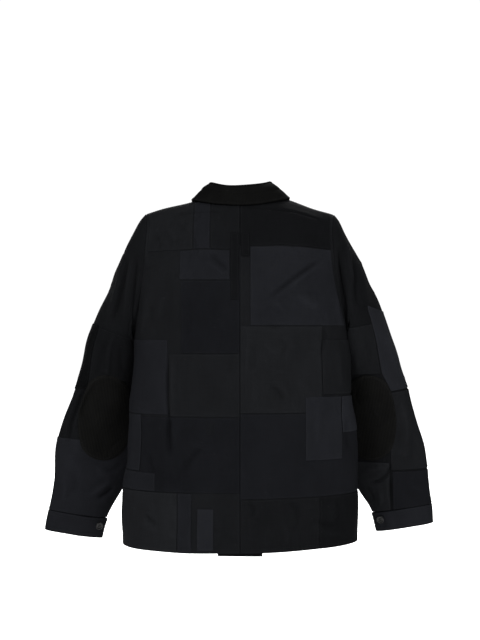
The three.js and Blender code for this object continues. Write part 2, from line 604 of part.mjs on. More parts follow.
// A short strip of dark cloth sewn inside the back hem, which shows below it at the centre.
const hemStripGrid = [HEM_Z - HEM_STRIP.below, HEM_Z, HEM_Z + HEM_STRIP.above].map((z) =>
  [1, 0, -1].map((share) => {
    const p = bodyPoint(1, Math.abs(share) * HEM_STRIP.half, z);
    return new THREE.Vector3(share * HEM_STRIP.half, p.y, z - HEM_DIP);
  }),
);
const hemStrip = wall(hemStripGrid, normalsOf(hemStripGrid, false), HEM_STRIP.from, HEM_STRIP.to, false);
add("hem_strip", hemStrip, "corduroy");

// The front buttons, down the middle of the left front's lap.
FRONT_BUTTON_Z.forEach((z, i) => {
  const above = bodyPoint(-1, PLACKET, z + BUTTON.radius);
  const below = bodyPoint(-1, PLACKET, z - BUTTON.radius);
  const normal = new THREE.Vector3(0, below.z - above.z, above.y - below.y).normalize();
  const middle = bodyPoint(-1, PLACKET, z).setX(0).addScaledVector(normal, PLACKET_LIFT + CLOTH);
  add(`front_button_${i + 1}`, button(middle, normal), "button");
});

addSleeve("left", 1);
addSleeve("right", -1);

export default jacket;
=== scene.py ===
# %% [markdown]
# # A patchwork work jacket, filled out as if someone wore it
#
# The jacket is black and navy cotton, made up of about forty patches in slightly different darks. It has a
# corduroy collar, corduroy ovals on the elbows and small dark buttons. This lesson builds each cut piece of
# cloth as a thin closed shell, bends it with creases, and sews it down with real stitches.

import json
import math

import bmesh
import bpy
import numpy as np
from mathutils import Matrix, Vector

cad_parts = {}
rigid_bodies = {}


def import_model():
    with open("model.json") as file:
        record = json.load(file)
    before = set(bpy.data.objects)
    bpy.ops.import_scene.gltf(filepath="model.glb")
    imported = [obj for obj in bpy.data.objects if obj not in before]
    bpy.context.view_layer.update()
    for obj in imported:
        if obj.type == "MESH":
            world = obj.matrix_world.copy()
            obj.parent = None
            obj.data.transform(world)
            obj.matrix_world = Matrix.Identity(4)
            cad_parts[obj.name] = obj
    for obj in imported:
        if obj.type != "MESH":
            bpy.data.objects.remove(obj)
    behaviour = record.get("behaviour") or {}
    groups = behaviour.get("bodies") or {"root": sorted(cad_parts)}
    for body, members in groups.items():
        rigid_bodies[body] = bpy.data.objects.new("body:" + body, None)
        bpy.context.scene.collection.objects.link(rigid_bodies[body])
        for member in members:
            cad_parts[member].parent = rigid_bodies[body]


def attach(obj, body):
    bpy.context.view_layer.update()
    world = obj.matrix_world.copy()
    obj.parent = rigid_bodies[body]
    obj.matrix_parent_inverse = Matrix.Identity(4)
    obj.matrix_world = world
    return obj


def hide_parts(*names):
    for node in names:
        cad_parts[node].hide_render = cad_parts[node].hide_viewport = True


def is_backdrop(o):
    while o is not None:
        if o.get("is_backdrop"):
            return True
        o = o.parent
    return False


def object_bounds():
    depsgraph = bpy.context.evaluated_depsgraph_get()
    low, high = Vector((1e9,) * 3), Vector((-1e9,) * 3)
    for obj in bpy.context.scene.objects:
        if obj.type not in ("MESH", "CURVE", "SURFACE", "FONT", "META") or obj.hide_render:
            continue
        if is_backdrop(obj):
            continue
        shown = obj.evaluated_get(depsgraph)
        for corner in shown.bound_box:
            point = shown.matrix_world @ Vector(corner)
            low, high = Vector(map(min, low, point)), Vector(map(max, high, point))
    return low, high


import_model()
cad_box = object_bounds()
MM = 0.001  # the form below is worked out in millimetres, and Blender works in metres
print("jacket box, m:", [list(map(float, corner)) for corner in cad_box])

# %% [markdown]
# ## Camera, light and floor
#
# The camera stands level, straight behind the jacket, a long way off, so that the lens adds hardly any
# perspective. Black cloth needs large soft lights: it shows its folds by the faint gloss on them and not by
# its colour. The floor is pale and lies below the hem, because the jacket stands on an invisible form.

# %% Camera
CAMERA_DISTANCE = 2.85
CAMERA_HEIGHT = -0.25
FRAME_HEIGHT = 1.312  # what the camera sees from top to bottom at the jacket's middle
SENSOR = 36.0

scene = bpy.context.scene
camera_data = bpy.data.cameras.new("camera")
camera_data.sensor_width = SENSOR
camera_data.lens = SENSOR * CAMERA_DISTANCE / FRAME_HEIGHT
camera = bpy.data.objects.new("camera", camera_data)
scene.collection.objects.link(camera)
camera.location = (0, CAMERA_DISTANCE, CAMERA_HEIGHT)
camera.rotation_euler = (math.radians(90), 0, math.radians(180))
scene.camera = camera
scene.view_settings.view_transform = "Standard"
print("lens", round(camera_data.lens, 1), "mm")


# %% Lights
def add_light(name, place, aim, size, power):
    """A soft square light at a place, turned to another place."""
    data = bpy.data.lights.new(name, "AREA")
    data.shape = "SQUARE"
    data.size = size
    data.energy = power
    light = bpy.data.objects.new(name, data)
    scene.collection.objects.link(light)
    light.location = place
    light.rotation_euler = (Vector(aim) - Vector(place)).to_track_quat("-Z", "Y").to_euler()
    return light


MIDDLE = (0, 0, -0.35)
add_light("key", (2.0, 3.2, 3.0), MIDDLE, 1.4, 190)
add_light("fill", (-2.2, 3.0, 0.6), MIDDLE, 2.2, 62)
add_light("front_key", (-1.0, -3.6, 2.6), MIDDLE, 1.4, 120)
add_light("front_fill", (0.9, -3.4, 0.2), MIDDLE, 2.2, 36)
add_light("top", (0, 0.1, 2.2), MIDDLE, 1.6, 16)

# %% Floor and the white room
FLOOR_Z = -0.96


def shader_material(name):
    """A new material, its node tree and its Principled shader."""
    made = bpy.data.materials.new(name)
    made.use_nodes = True
    return made, made.node_tree, made.node_tree.nodes["Principled BSDF"]


floor_material, tree, shader = shader_material("floor_paper")
shader.inputs["Roughness"].default_value = 0.9
shader.inputs["Specular IOR Level"].default_value = 0.1
shader.inputs["Emission Color"].default_value = (1, 1, 1, 1)
FLOOR_GLOW = 0.3  # how bright the paper is for the cloth
FLOOR_SEEN = 1.1  # and for the eye
seen = tree.nodes.new("ShaderNodeLightPath")
glow = tree.nodes.new("ShaderNodeMix")
glow.inputs["A"].default_value = FLOOR_GLOW
glow.inputs["B"].default_value = FLOOR_SEEN
tree.links.new(seen.outputs["Is Camera Ray"], glow.inputs["Factor"])
tree.links.new(glow.outputs["Result"], shader.inputs["Emission Strength"])
grain = tree.nodes.new("ShaderNodeTexNoise")
grain.inputs["Scale"].default_value = 300


def between(tree, factor, first, second):
    """A colour that runs from a first to a second one as a factor goes from 0 to 1."""
    node = tree.nodes.new("ShaderNodeMix")
    node.data_type = "RGBA"
    node.inputs["A"].default_value = (*first, 1)
    node.inputs["B"].default_value = (*second, 1)
    tree.links.new(factor, node.inputs["Factor"])
    return node.outputs["Result"]


paper = between(tree, grain.outputs["Fac"], (0.86, 0.86, 0.86), (0.9, 0.9, 0.9))
tree.links.new(paper, shader.inputs["Base Color"])

shape = bmesh.new()
bmesh.ops.create_grid(shape, x_segments=8, y_segments=8, size=14)
floor_mesh = bpy.data.meshes.new("floor")
shape.to_mesh(floor_mesh)
shape.free()
floor = bpy.data.objects.new("floor", floor_mesh)
floor.location = (0, 0, FLOOR_Z)
floor_mesh.materials.append(floor_material)
scene.collection.objects.link(floor)
floor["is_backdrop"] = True

world = bpy.data.worlds.new("white_room")
scene.world = world
world.use_nodes = True
room = world.node_tree
backing = room.nodes["Background"]
seen = room.nodes.new("ShaderNodeLightPath")
brightness = room.nodes.new("ShaderNodeMix")
ROOM_LIGHT = 0.22  # how bright the room is for the cloth
ROOM_SEEN = 1.05  # and for the eye
brightness.inputs["A"].default_value = ROOM_LIGHT
brightness.inputs["B"].default_value = ROOM_SEEN
room.links.new(seen.outputs["Is Camera Ray"], brightness.inputs["Factor"])
room.links.new(brightness.outputs["Result"], backing.inputs["Strength"])
backing.inputs["Color"].default_value = (1, 1, 1, 1)
print("floor", FLOOR_Z, "m, five soft lights")

# %% [markdown]
# ## The form that the cloth lies on
#
# A worn jacket is a rounded barrel with a shoulder ridge, a neck hole and two armholes. The same simple
# formulas give the body's surface everywhere, so a panel, the patch on it and the patch on that one all
# follow the same curve, each a little further out. They are written with arrays, so that one call places
# thousands of points.

# %% The body's dimensions, in millimetres
CLOTH = 0.9  # a panel's thickness
PATCH = 0.7  # a patch's thickness
SEAM = 0.3  # clear distance between layers that are sewn together
LAYER_ONE = 1.2  # where the first layer of patches starts
LAYER_TWO = 2.2  # where patches on patches start
HEM_Z = -701
HEM_TILT = 0.018
HEM_DIP = 6
HEM_LEVEL_FROM_Z = -400
HEM_HALF_WIDTH = 236
WIDEST_Z = -545
CHEST_HALF_WIDTH = 219
YOKE_HALF_WIDTH = 228
CHEST_BLEND = 200
UNDERARM_Z = -285
BACK_DEPTH = 122
FRONT_DEPTH = 117
HEM_FLARE = 9
FLARE_FROM_Z = -500
ROUNDNESS = 2.4
NECK_X = 78
BACK_NECK_DROP = 12
FRONT_NECK_DROP = 75
FRONT_NECK_CURVE = 0.7
TIP_X, TIP_Z = 190, -34
RIDGE_RISE = 15
BACK_ROLL = 180
FRONT_ROLL = 230
LEVEL_Z = -135
WAIST_X, WAIST_Z = 186, -80
ARMHOLE_CURVE = 1.9
PLACKET = 18
PLACKET_LIFT = 1.7


def smooth(t):
    """0 below 0, 1 above 1, and an easy slope between."""
    t = np.clip(t, 0, 1)
    return t * t * (3 - 2 * t)


def mix(a, b, t):
    return a + (b - a) * t


def half_width(z):
    up = smooth((z - UNDERARM_Z) / CHEST_BLEND)
    down = smooth((UNDERARM_Z - z) / (UNDERARM_Z - WIDEST_Z))
    to_yoke = YOKE_HALF_WIDTH - CHEST_HALF_WIDTH
    to_hem = HEM_HALF_WIDTH - CHEST_HALF_WIDTH
    return CHEST_HALF_WIDTH + to_yoke * up + to_hem * down


def ridge(x):
    slope = TIP_Z / (TIP_X - NECK_X)
    return np.where(x > NECK_X, (x - NECK_X) * slope, RIDGE_RISE * (1 - (x / NECK_X) ** 2))


def top_edge(face, x):
    """Height of a panel's top edge: the neck hole, then the shoulder seam."""
    drop = np.clip(1 - (x / NECK_X) ** 2, 0, 1)
    neck = np.where(face > 0, -BACK_NECK_DROP * drop, -FRONT_NECK_DROP * drop**FRONT_NECK_CURVE)
    return np.where(x >= NECK_X, ridge(x), neck)


def side_edge(z):
    """Where a panel ends at a height: the armhole, and below the underarm the side seam."""
    drop = np.clip((WAIST_Z - z) / (WAIST_Z - UNDERARM_Z), 0, 1)
    rise = np.clip((z - WAIST_Z) / (TIP_Z - WAIST_Z), 0, 1)
    hole = WAIST_X + (CHEST_HALF_WIDTH - WAIST_X) * drop**ARMHOLE_CURVE + (TIP_X - WAIST_X) * rise**2
    return np.where(z <= UNDERARM_Z, half_width(z), hole)


def body_point(face, x, z):
    """The body's surface at a width and a height. face is 1 behind and -1 in front."""
    flat = (1 - np.clip(np.abs(x) / half_width(z), 0, 1) ** ROUNDNESS) ** (1 / ROUNDNESS)
    fall = np.clip((ridge(np.abs(x)) - z) / np.where(face > 0, BACK_ROLL, FRONT_ROLL), 0, 1)
    flare = HEM_FLARE * smooth((FLARE_FROM_Z - z) / (FLARE_FROM_Z - HEM_Z))
    deep = np.where(face > 0, BACK_DEPTH, FRONT_DEPTH) + flare
    y = face * (deep * flat * np.sqrt(1 - (1 - fall) ** 2) + SEAM / 2)
    return np.stack(np.broadcast_arrays(x, y, z), axis=-1).astype(float)


def row_height(face, x, level):
    rise = (level - LEVEL_Z) / (TIP_Z - LEVEL_Z)
    return np.where(rise > 0, LEVEL_Z + rise * (top_edge(face, np.abs(x)) - LEVEL_Z), level)


def row_drop(x, level):
    fade = np.clip((HEM_LEVEL_FROM_Z - level) / (HEM_LEVEL_FROM_Z - HEM_Z), 0, 1)
    return fade * (HEM_TILT * x + HEM_DIP * (1 - (x / HEM_HALF_WIDTH) ** 2))


print("half width at the chest and hem, mm:", half_width(UNDERARM_Z), half_width(HEM_Z))

# %% [markdown]
# Rows and columns have to be close where the form turns sharply: over the shoulder and round the sides. So
# a column is named by its share of the way round the body's section, and a row by its length down the back.

# %% Even steps round the body and down it
ROLL_LENGTH = 83  # over this length the shoulder turns from flat to upright
STEPS = np.linspace(0, math.pi / 2, 2001)
SHARE = np.sin(STEPS) ** (2 / ROUNDNESS)
SECTION = np.stack([CHEST_HALF_WIDTH * SHARE, BACK_DEPTH * np.cos(STEPS) ** (2 / ROUNDNESS)], 1)
ROUND = np.concatenate([[0], np.cumsum(np.linalg.norm(np.diff(SECTION, axis=0), axis=1))])
ROUND_LENGTH = ROUND[-1]


def share_at(u):
    return np.interp(u * ROUND_LENGTH, ROUND, SHARE)


def u_at(share):
    return np.interp(share, SHARE, ROUND) / ROUND_LENGTH


def length_down(level):
    drop = TIP_Z - level
    return np.sqrt((drop + ROLL_LENGTH) ** 2 - ROLL_LENGTH**2)


def level_at(length):
    return TIP_Z - (np.sqrt(length**2 + ROLL_LENGTH**2) - ROLL_LENGTH)


print("half round the body", round(ROUND_LENGTH), "mm, down it", round(float(length_down(HEM_Z))), "mm")

# %% [markdown]
# ## The sleeves' form
#
# A sleeve is a row of rings from the armhole to the cuff. Each ring is an ellipse between the sleeve's outer
# and inner fold, and the first ones turn gradually into the armhole's own edge. The rings are joined by a
# Catmull-Rom curve, which passes through every station.

# %% Sleeve stations and rings
# outer fold x, y, z, inner fold x, y, z, half the thickness
SLEEVE = np.array(
    [
        [190, 0, -34, 221, 0, -285, 76],
        [215, -2, -54, 216, -2, -290, 78],
        [235, -5, -96, 212, -16, -294, 79],
        [257, -11, -150, 210, -32, -300, 80],
        [279, -20, -205, 209, -46, -308, 80],
        [302, -28, -265, 208, -56, -322, 77],
        [322, -36, -326, 208, -68, -352, 68],
        [343, -45, -388, 212, -88, -400, 54],
        [364, -55, -452, 206, -99, -456, 42],
        [383, -65, -521, 213, -108, -526, 33],
        [393, -76, -591, 246, -102, -600, 27],
        [400, -82, -649, 280, -94, -669, 24],
        [406, -88, -692, 293, -92, -710, 22],
    ],
    float,
)
LAST_STATION = len(SLEEVE) - 1
CUFF_SEAM = 11
ARMHOLE_CLEARANCE = 2.6
ARMHOLE_STATIONS = 3.5
WRIST_RISE = 15
RISE_FROM = 8
TUCK = 7  # how far the sleeve's start runs in under the body's edge


def along(rows, at):
    """Catmull-Rom value of a list of rows at fractional indices."""
    at = np.clip(at, 0, len(rows) - 1)
    i = np.clip(np.floor(at).astype(int), 0, len(rows) - 2)
    t = (at - i)[..., None]
    a, b, c, d = (rows[np.clip(i + k, 0, len(rows) - 1)] for k in (-1, 0, 1, 2))
    return 0.5 * (2 * b + (c - a) * t + (2 * a - 5 * b + 4 * c - d) * t**2 + (3 * b - a - 3 * c + d) * t**3)


def armhole_level(angle):
    return mix(UNDERARM_Z, TIP_Z, (1 + np.cos(angle)) / 2)


def sleeve_point(side, station, angle):
    """The sleeve's surface. The angle starts at the outer fold, by the back. Side 1 is the wearer's left."""
    station, angle = np.broadcast_arrays(station, angle)
    row = along(SLEEVE, station)
    bent = WRIST_RISE * smooth((station - RISE_FROM) / (LAST_STATION - RISE_FROM)) * (side < 0)
    outer = row[..., 0:3] + np.stack([0 * bent, 0 * bent, bent], -1)
    inner = row[..., 3:6] + np.stack([0 * bent, 0 * bent, bent], -1)
    middle = (outer + inner) / 2
    wide = outer - middle
    backward = np.array([0, 1, 0]) - wide * (wide[..., 1:2] / (wide**2).sum(-1, keepdims=True))
    backward /= np.linalg.norm(backward, axis=-1, keepdims=True)
    cosine, sine = np.cos(angle)[..., None], np.sin(angle)[..., None]
    ellipse = middle + wide * cosine + backward * row[..., 6:7] * sine
    level = armhole_level(angle)
    face = np.where(np.sin(angle) >= 0, 1, -1)
    armhole = body_point(face, side_edge(level), level)
    armhole[..., 1] *= smooth(np.abs(np.sin(angle)) / 0.1)
    armhole[..., 0] += ARMHOLE_CLEARANCE - (ARMHOLE_CLEARANCE + TUCK) * smooth(-station / 0.3)
    armhole += middle - (SLEEVE[0, 0:3] + SLEEVE[0, 3:6]) / 2
    point = mix(armhole, ellipse, smooth(station / ARMHOLE_STATIONS)[..., None])
    return point * np.array([side, 1, 1])


print("sleeve stations:", len(SLEEVE))

# %% [markdown]
# ## Creases
#
# Cloth that has been worn and washed has creases that stay. Each one is drawn here as a line on the jacket,
# with a width and a height: a trough sinks, and a ridge stands up. Beside every crease the cloth gives a
# little the other way, as real cloth does. A sum of slow waves adds the soft unevenness of a big panel.


# %% A crease, and slow waves
def crease(x, z, path, width, height):
    """How far the cloth moves out at (x, z) because of one crease along a path."""
    path = np.array(path, float)
    ends = np.linalg.norm(np.diff(path, axis=0), axis=1)
    nearest = np.full(x.shape, 1e9)
    place = np.zeros(x.shape)
    start = 0
    for (px, pz), (qx, qz), length in zip(path[:-1], path[1:], ends):
        t = np.clip(((x - px) * (qx - px) + (z - pz) * (qz - pz)) / length**2, 0, 1)
        square = (x - px - t * (qx - px)) ** 2 + (z - pz - t * (qz - pz)) ** 2
        closer = square < nearest
        nearest = np.where(closer, square, nearest)
        place = np.where(closer, start + t * length, place)
        start += length
    fade = smooth(place / (0.3 * start)) * smooth((start - place) / (0.3 * start))
    give = 0.35 * np.exp(-nearest / (2.4 * width) ** 2)
    return height * fade * (np.exp(-((nearest / width**2) ** 0.75)) - give)


rng = np.random.default_rng(11)
WAVE_COUNT = 22
WAVE_LENGTHS = rng.uniform(55, 210, WAVE_COUNT)
WAVE_WAYS = rng.normal(size=(WAVE_COUNT, 3)) * np.array([1.0, 0.7, 0.75])
WAVE_WAYS /= np.linalg.norm(WAVE_WAYS, axis=1, keepdims=True)
WAVE_STARTS = rng.uniform(0, 2 * math.pi, WAVE_COUNT)
WAVE_HEIGHT = 0.0042  # of the wave's length


def slow_waves(points):
    turns = points @ (WAVE_WAYS / WAVE_LENGTHS[:, None] * 2 * math.pi).T + WAVE_STARTS
    return (np.sin(turns) * WAVE_LENGTHS * WAVE_HEIGHT).sum(-1)


# %% [markdown]
# The creases of the back are listed from the shoulders down, then those of each sleeve and of the front.
# Long folds run down from the armholes, where an arm pulls them, and short ones cross the panels where
# patches were sewn on with a little slack.

# %% Where the creases are
# Each crease: the points of its line in millimetres, its width and its height.
BACK_CREASES = [
    ([(158, -54), (121, -38), (88, -34), (40, -35), (6, -36)], 3, -1.5),
    ([(-2, -30), (-30, -29), (-70, -31), (-113, -35), (-150, -46), (-178, -64)], 3, -1.7),
    ([(92, -84), (88, -104), (86, -130)], 4, -1.6),
    ([(150, -62), (136, -78), (118, -98)], 8, 1.8),
    ([(128, -52), (112, -70), (100, -80)], 6, -1.4),
    ([(170, -70), (160, -100), (158, -128)], 7, -1.5),
    ([(182, -60), (186, -110), (183, -150)], 8, 1.8),
    ([(60, -120), (42, -136), (22, -156)], 6, -2.6),
    ([(66, -132), (48, -148), (30, -166)], 6, 1.4),
    ([(100, -190), (98, -240), (102, -300)], 9, -0.8),
    ([(184, -190), (192, -240), (200, -290)], 9, 2.0),
    ([(150, -200), (160, -226), (164, -254)], 9, 1.6),
    ([(141, -300), (143, -360), (142, -430), (139, -520)], 4.5, -3.8),
    ([(131, -318), (133, -370), (132, -420)], 5, 1.8),
    ([(140, -438), (142, -470), (137, -524)], 9, -3.0),
    ([(70, -496), (92, -518), (114, -552)], 8, -2.4),
    ([(100, -486), (78, -500), (50, -506)], 7, 1.2),
    ([(178, -512), (178, -535), (168, -556)], 9, -2.2),
    ([(192, -632), (180, -646), (164, -656)], 5, -2.6),
    ([(196, -650), (178, -664), (160, -668)], 7, 1.8),
    ([(129, -594), (128, -604), (126, -622)], 4, -1.4),
    ([(92, -646), (91, -668), (92, -692)], 4, -1.6),
    ([(150, -670), (120, -678), (104, -690)], 7, 1.4),
    (
        [(-172, -122), (-150, -138), (-130, -152), (-100, -174), (-84, -186), (-66, -200), (-44, -212)],
        6, -3.2,
    ),
    ([(-150, -146), (-122, -166), (-98, -186)], 7, 1.8),
    ([(-116, -206), (-136, -218), (-160, -226)], 13, 2.8),
    ([(-60, -216), (-78, -222), (-92, -240)], 8, 1.8),
    ([(-94, -196), (-126, -196), (-168, -200)], 5, -1.0),
    ([(-40, -258), (-62, -264), (-92, -264)], 5, -1.6),
    ([(-190, -196), (-194, -236), (-202, -276)], 8, 1.6),
    ([(-14, -200), (-14, -300), (-13, -430)], 4, 1.4),
    ([(-26, -296), (-30, -330), (-24, -352)], 5, -1.6),
    ([(-40, -290), (-62, -312), (-80, -318)], 6, 1.6),
    ([(-74, -284), (-90, -300), (-82, -326)], 6, -1.8),
    ([(-54, -344), (-70, -352), (-98, -350)], 5, 1.6),
    ([(-58, -376), (-72, -388), (-88, -412)], 6, -2.4),
    ([(-74, -372), (-92, -390), (-100, -410)], 6, 1.4),
    ([(-24, -370), (-30, -392), (-26, -420)], 5, 1.2),
    ([(-166, -256), (-168, -290), (-160, -330)], 6, -1.8),
    ([(-196, -300), (-200, -350), (-206, -390)], 9, 1.4),
    ([(-150, -410), (-156, -450), (-154, -500)], 9, 1.2),
    ([(-214, -440), (-212, -470), (-218, -520)], 9, -1.4),
    ([(-18, -606), (-28, -620), (-22, -640)], 6, -2.0),
    ([(-96, -604), (-112, -622), (-118, -650)], 7, -2.0),
    ([(-110, -600), (-128, -616), (-150, -622)], 7, 1.4),
    ([(-88, -650), (-94, -670), (-92, -694)], 6, 1.8),
    ([(-140, -640), (-166, -654), (-196, -660)], 8, -2.2),
    ([(-150, -664), (-176, -674), (-206, -672)], 7, 1.8),
    ([(-190, -600), (-196, -630), (-190, -660)], 8, -1.6),
    ([(-50, -652), (-56, -674), (-52, -694)], 7, 1.0),
]
FRONT_CREASES = [
    ([(170, -70), (140, -110), (96, -160)], 9, -2.6),
    ([(178, -96), (150, -140), (116, -180)], 9, 2.2),
    ([(196, -230), (160, -262), (110, -280)], 9, -2.6),
    ([(200, -260), (170, -300), (130, -330)], 9, 2.0),
    ([(60, -200), (54, -260), (58, -330)], 8, -1.6),
    ([(150, -380), (146, -450), (152, -530)], 9, 2.0),
    ([(96, -420), (90, -480), (94, -560)], 8, -2.2),
    ([(190, -520), (160, -560), (120, -580)], 9, -1.8),
    ([(70, -600), (60, -640), (66, -690)], 7, 1.6),
    ([(-166, -72), (-136, -120), (-100, -150)], 9, -2.4),
    ([(-180, -110), (-154, -150), (-124, -196)], 9, 2.2),
    ([(-198, -240), (-150, -280), (-104, -290)], 9, -2.6),
    ([(-64, -190), (-58, -250), (-62, -300)], 8, -1.4),
    ([(-140, -350), (-150, -420), (-144, -490)], 9, 1.8),
    ([(-100, -460), (-94, -520), (-100, -590)], 8, -2.2),
    ([(-190, -540), (-170, -590), (-130, -610)], 9, 1.8),
    ([(-60, -560), (-56, -620), (-62, -680)], 7, 1.4),
]
SLEEVE_CREASES = {
    "left_back": [
        ([(206, -120), (212, -190), (219, -274)], 5, -3.4),
        ([(216, -112), (226, -180), (234, -262)], 6, 2.8),
        ([(226, -122), (237, -170), (248, -212), (262, -258)], 7, -4.6),
        ([(240, -150), (254, -200), (270, -256)], 8, 2.4),
        ([(252, -270), (258, -286), (266, -318), (270, -352), (276, -376)], 5, 4.4),
        ([(272, -286), (284, -330), (296, -368)], 9, -2.2),
        ([(240, -292), (244, -330), (240, -364)], 9, -1.6),
        ([(292, -364), (318, -404), (338, -452), (350, -498)], 6, 3.6),
        ([(306, -362), (334, -412), (352, -470), (360, -524)], 6, -3.6),
        ([(330, -470), (340, -500), (334, -536)], 12, 2.0),
        ([(302, -626), (284, -616), (264, -600)], 6, -3.0),
        ([(322, -622), (296, -606), (268, -586)], 7, 2.4),
        ([(350, -560), (344, -590), (350, -622)], 9, -1.6),
        ([(300, -552), (288, -572), (268, -580)], 8, 1.6),
        ([(372, -560), (366, -600), (372, -640)], 8, 1.6),
        ([(250, -546), (262, -562), (284, -566)], 6, -1.6),
    ],
    "right_back": [
        ([(-200, -96), (-204, -150), (-209, -210), (-214, -276)], 8, -8),
        ([(-218, -84), (-222, -130), (-228, -184)], 6, 3.4),
        ([(-226, -120), (-232, -170), (-236, -230)], 7, -2.6),
        ([(-250, -150), (-256, -190), (-262, -236)], 10, 1.6),
        ([(-250, -280), (-262, -320), (-266, -350)], 8, -1.4),
        ([(-290, -270), (-308, -320), (-326, -372)], 10, 2.0),
        ([(-240, -290), (-238, -330), (-242, -362)], 8, 1.4),
        ([(-330, -410), (-344, -460), (-350, -520)], 9, 2.0),
        ([(-352, -480), (-358, -520), (-352, -552)], 9, -1.6),
        ([(-330, -520), (-342, -530), (-352, -528)], 9, 1.8),
        ([(-268, -590), (-290, -588), (-306, -576), (-318, -548)], 5, -3.6),
        ([(-262, -560), (-282, -564), (-298, -556)], 7, 2.4),
        ([(-313, -574), (-314, -600), (-316, -640)], 4.5, -3.0),
        ([(-290, -604), (-296, -624), (-294, -644)], 6, 1.8),
        ([(-264, -596), (-276, -616), (-282, -636)], 6, -2.0),
        ([(-352, -590), (-366, -602), (-386, -606)], 9, 1.4),
        ([(-296, -664), (-306, -676), (-304, -692)], 5, -1.8),
        ([(-318, -664), (-322, -680), (-318, -694)], 6, 1.2),
    ],
    "left_front": [
        ([(214, -110), (224, -180), (232, -250)], 8, -4.0),
        ([(250, -130), (262, -190), (272, -250)], 9, 2.8),
        ([(330, -380), (290, -402), (250, -410)], 8, -4.4),
        ([(338, -410), (296, -430), (240, -440)], 8, 3.0),
        ([(350, -440), (304, -462), (230, -470)], 9, -3.6),
        ([(300, -540), (330, -580), (350, -620)], 9, 2.2),
    ],
    "right_front": [
        ([(-214, -120), (-226, -190), (-234, -260)], 8, -3.8),
        ([(-248, -140), (-264, -200), (-276, -262)], 9, 2.8),
        ([(-334, -370), (-292, -398), (-246, -402)], 8, -4.2),
        ([(-342, -404), (-294, -426), (-236, -434)], 8, 3.0),
        ([(-352, -446), (-300, -456), (-226, -478)], 9, -3.4),
        ([(-296, -530), (-328, -576), (-346, -616)], 9, 2.2),
    ],
}


CREASE_DEPTH = 1.9
CREASE_WIDTH = 0.8
REACH = 5  # a crease is felt this many widths away


def crease_sum(points, creases):
    """The sum of all the creases of a list, at each point. They are a little deeper than they are listed."""
    x, z = points[..., 0].ravel(), points[..., 2].ravel()
    total = np.zeros(x.shape)
    for path, width, height in creases:
        width = CREASE_WIDTH * width
        low, high = np.min(path, 0) - REACH * width, np.max(path, 0) + REACH * width
        near = np.flatnonzero((x > low[0]) & (x < high[0]) & (z > low[1]) & (z < high[1]))
        if len(near):
            total[near] += crease(x[near], z[near], path, width, CREASE_DEPTH * height)
    return total.reshape(points.shape[:-1])


def small_creases(count, left, right, low, high, slant, seed):
    """Short shallow creases scattered over a region. slant is the angle that most of them lie near."""
    chance = np.random.default_rng(seed)
    found = []
    for _ in range(count):
        x, z = chance.uniform(left, right), chance.uniform(low, high)
        turn = slant + chance.normal() * 0.6
        length = chance.uniform(9, 26)
        way = np.array([math.cos(turn), math.sin(turn)]) * length
        bow = chance.normal() * 0.25 * np.array([-way[1], way[0]])
        middle = np.array([x, z])
        path = [tuple(middle - way), tuple(middle + bow), tuple(middle + way)]
        found.append((path, chance.uniform(3.0, 5.5), chance.uniform(0.3, 0.75) * chance.choice([-1, 1])))
    return found


# Most small creases lie where the cloth moves: at the shoulder blades, the middle of the back, and the hem.
BACK_CREASES += small_creases(26, 60, 190, -170, -45, -0.9, 1)
BACK_CREASES += small_creases(20, -190, -60, -160, -45, 0.9, 2)
BACK_CREASES += small_creases(26, -200, -20, -430, -180, 0.9, 3)
BACK_CREASES += small_creases(14, 20, 200, -330, -160, 1.4, 4)
BACK_CREASES += small_creases(22, -220, 220, -600, -430, 1.2, 5)
BACK_CREASES += small_creases(24, -220, 220, -700, -600, 0.3, 6)
FRONT_CREASES += small_creases(60, -210, 210, -690, -80, 0.8, 7)
for at, (name, side) in enumerate((("left", 1), ("right", -1))):
    for face in ("back", "front"):
        SLEEVE_CREASES[f"{name}_{face}"] += small_creases(
            12, *sorted((side * 215, side * 285)), -280, -100, -side * 1.3, 10 + at
        )
        SLEEVE_CREASES[f"{name}_{face}"] += small_creases(
            14, *sorted((side * 240, side * 390)), -640, -300, -side * 1.0, 20 + at
        )
print("creases:", len(BACK_CREASES) + len(FRONT_CREASES) + sum(map(len, SLEEVE_CREASES.values())))

# %% [markdown]
# ## From a formula to a piece of cloth
#
# A form is a function of two numbers, u across the piece and v up it, that gives points on the smooth
# surface. `lifted` moves such points out along the surface's normal: by the creases, and by the height that
# is asked for. A cloth piece is two lifted grids with a rim between them, so it is always a closed shell.


# %% Lifting points off a form
def normals_of(form, u, v):
    """Outward unit normals, from two short steps on the surface."""
    step = 0.002
    right, left = np.minimum(u + step, form["u_end"]), np.maximum(u - step, form["u_start"])
    up, down = np.minimum(v + step, 1), np.maximum(v - step, 0)
    across = form["place"](right, v) - form["place"](left, v)
    upward = form["place"](u, up) - form["place"](u, down)
    normal = np.cross(across, upward)
    normal /= np.maximum(np.linalg.norm(normal, axis=-1, keepdims=True), 1e-9)
    return normal * form["turn"]


def bent(form, points, u, v):
    """How far the creases and slow waves move the surface out."""
    return slow_waves(points) + form["creases"](points, u, v)


def lifted(form, u, v, height):
    u, v = np.broadcast_arrays(np.asarray(u, float), np.asarray(v, float))
    points = form["place"](u, v)
    normals = normals_of(form, u, v)
    return points + normals * (bent(form, points, u, v) + height)[..., None]


def make_form(place, creases, tube=False):
    """A form, with the sign that makes its normals point out of the jacket."""
    form = {"place": place, "creases": creases, "tube": tube, "turn": 1}
    form["u_start"], form["u_end"] = (-9, 9) if tube else (0, 1)
    return form


def facing(form, middle, sample=(0.5, 0.5)):
    """Turns a form's normals away from a point inside the jacket."""
    u, v = np.array([sample[0]]), np.array([sample[1]])
    outward = (form["place"](u, v) - np.array(middle)) * normals_of(form, u, v)
    if outward.sum() < 0:
        form["turn"] = -1
    return form


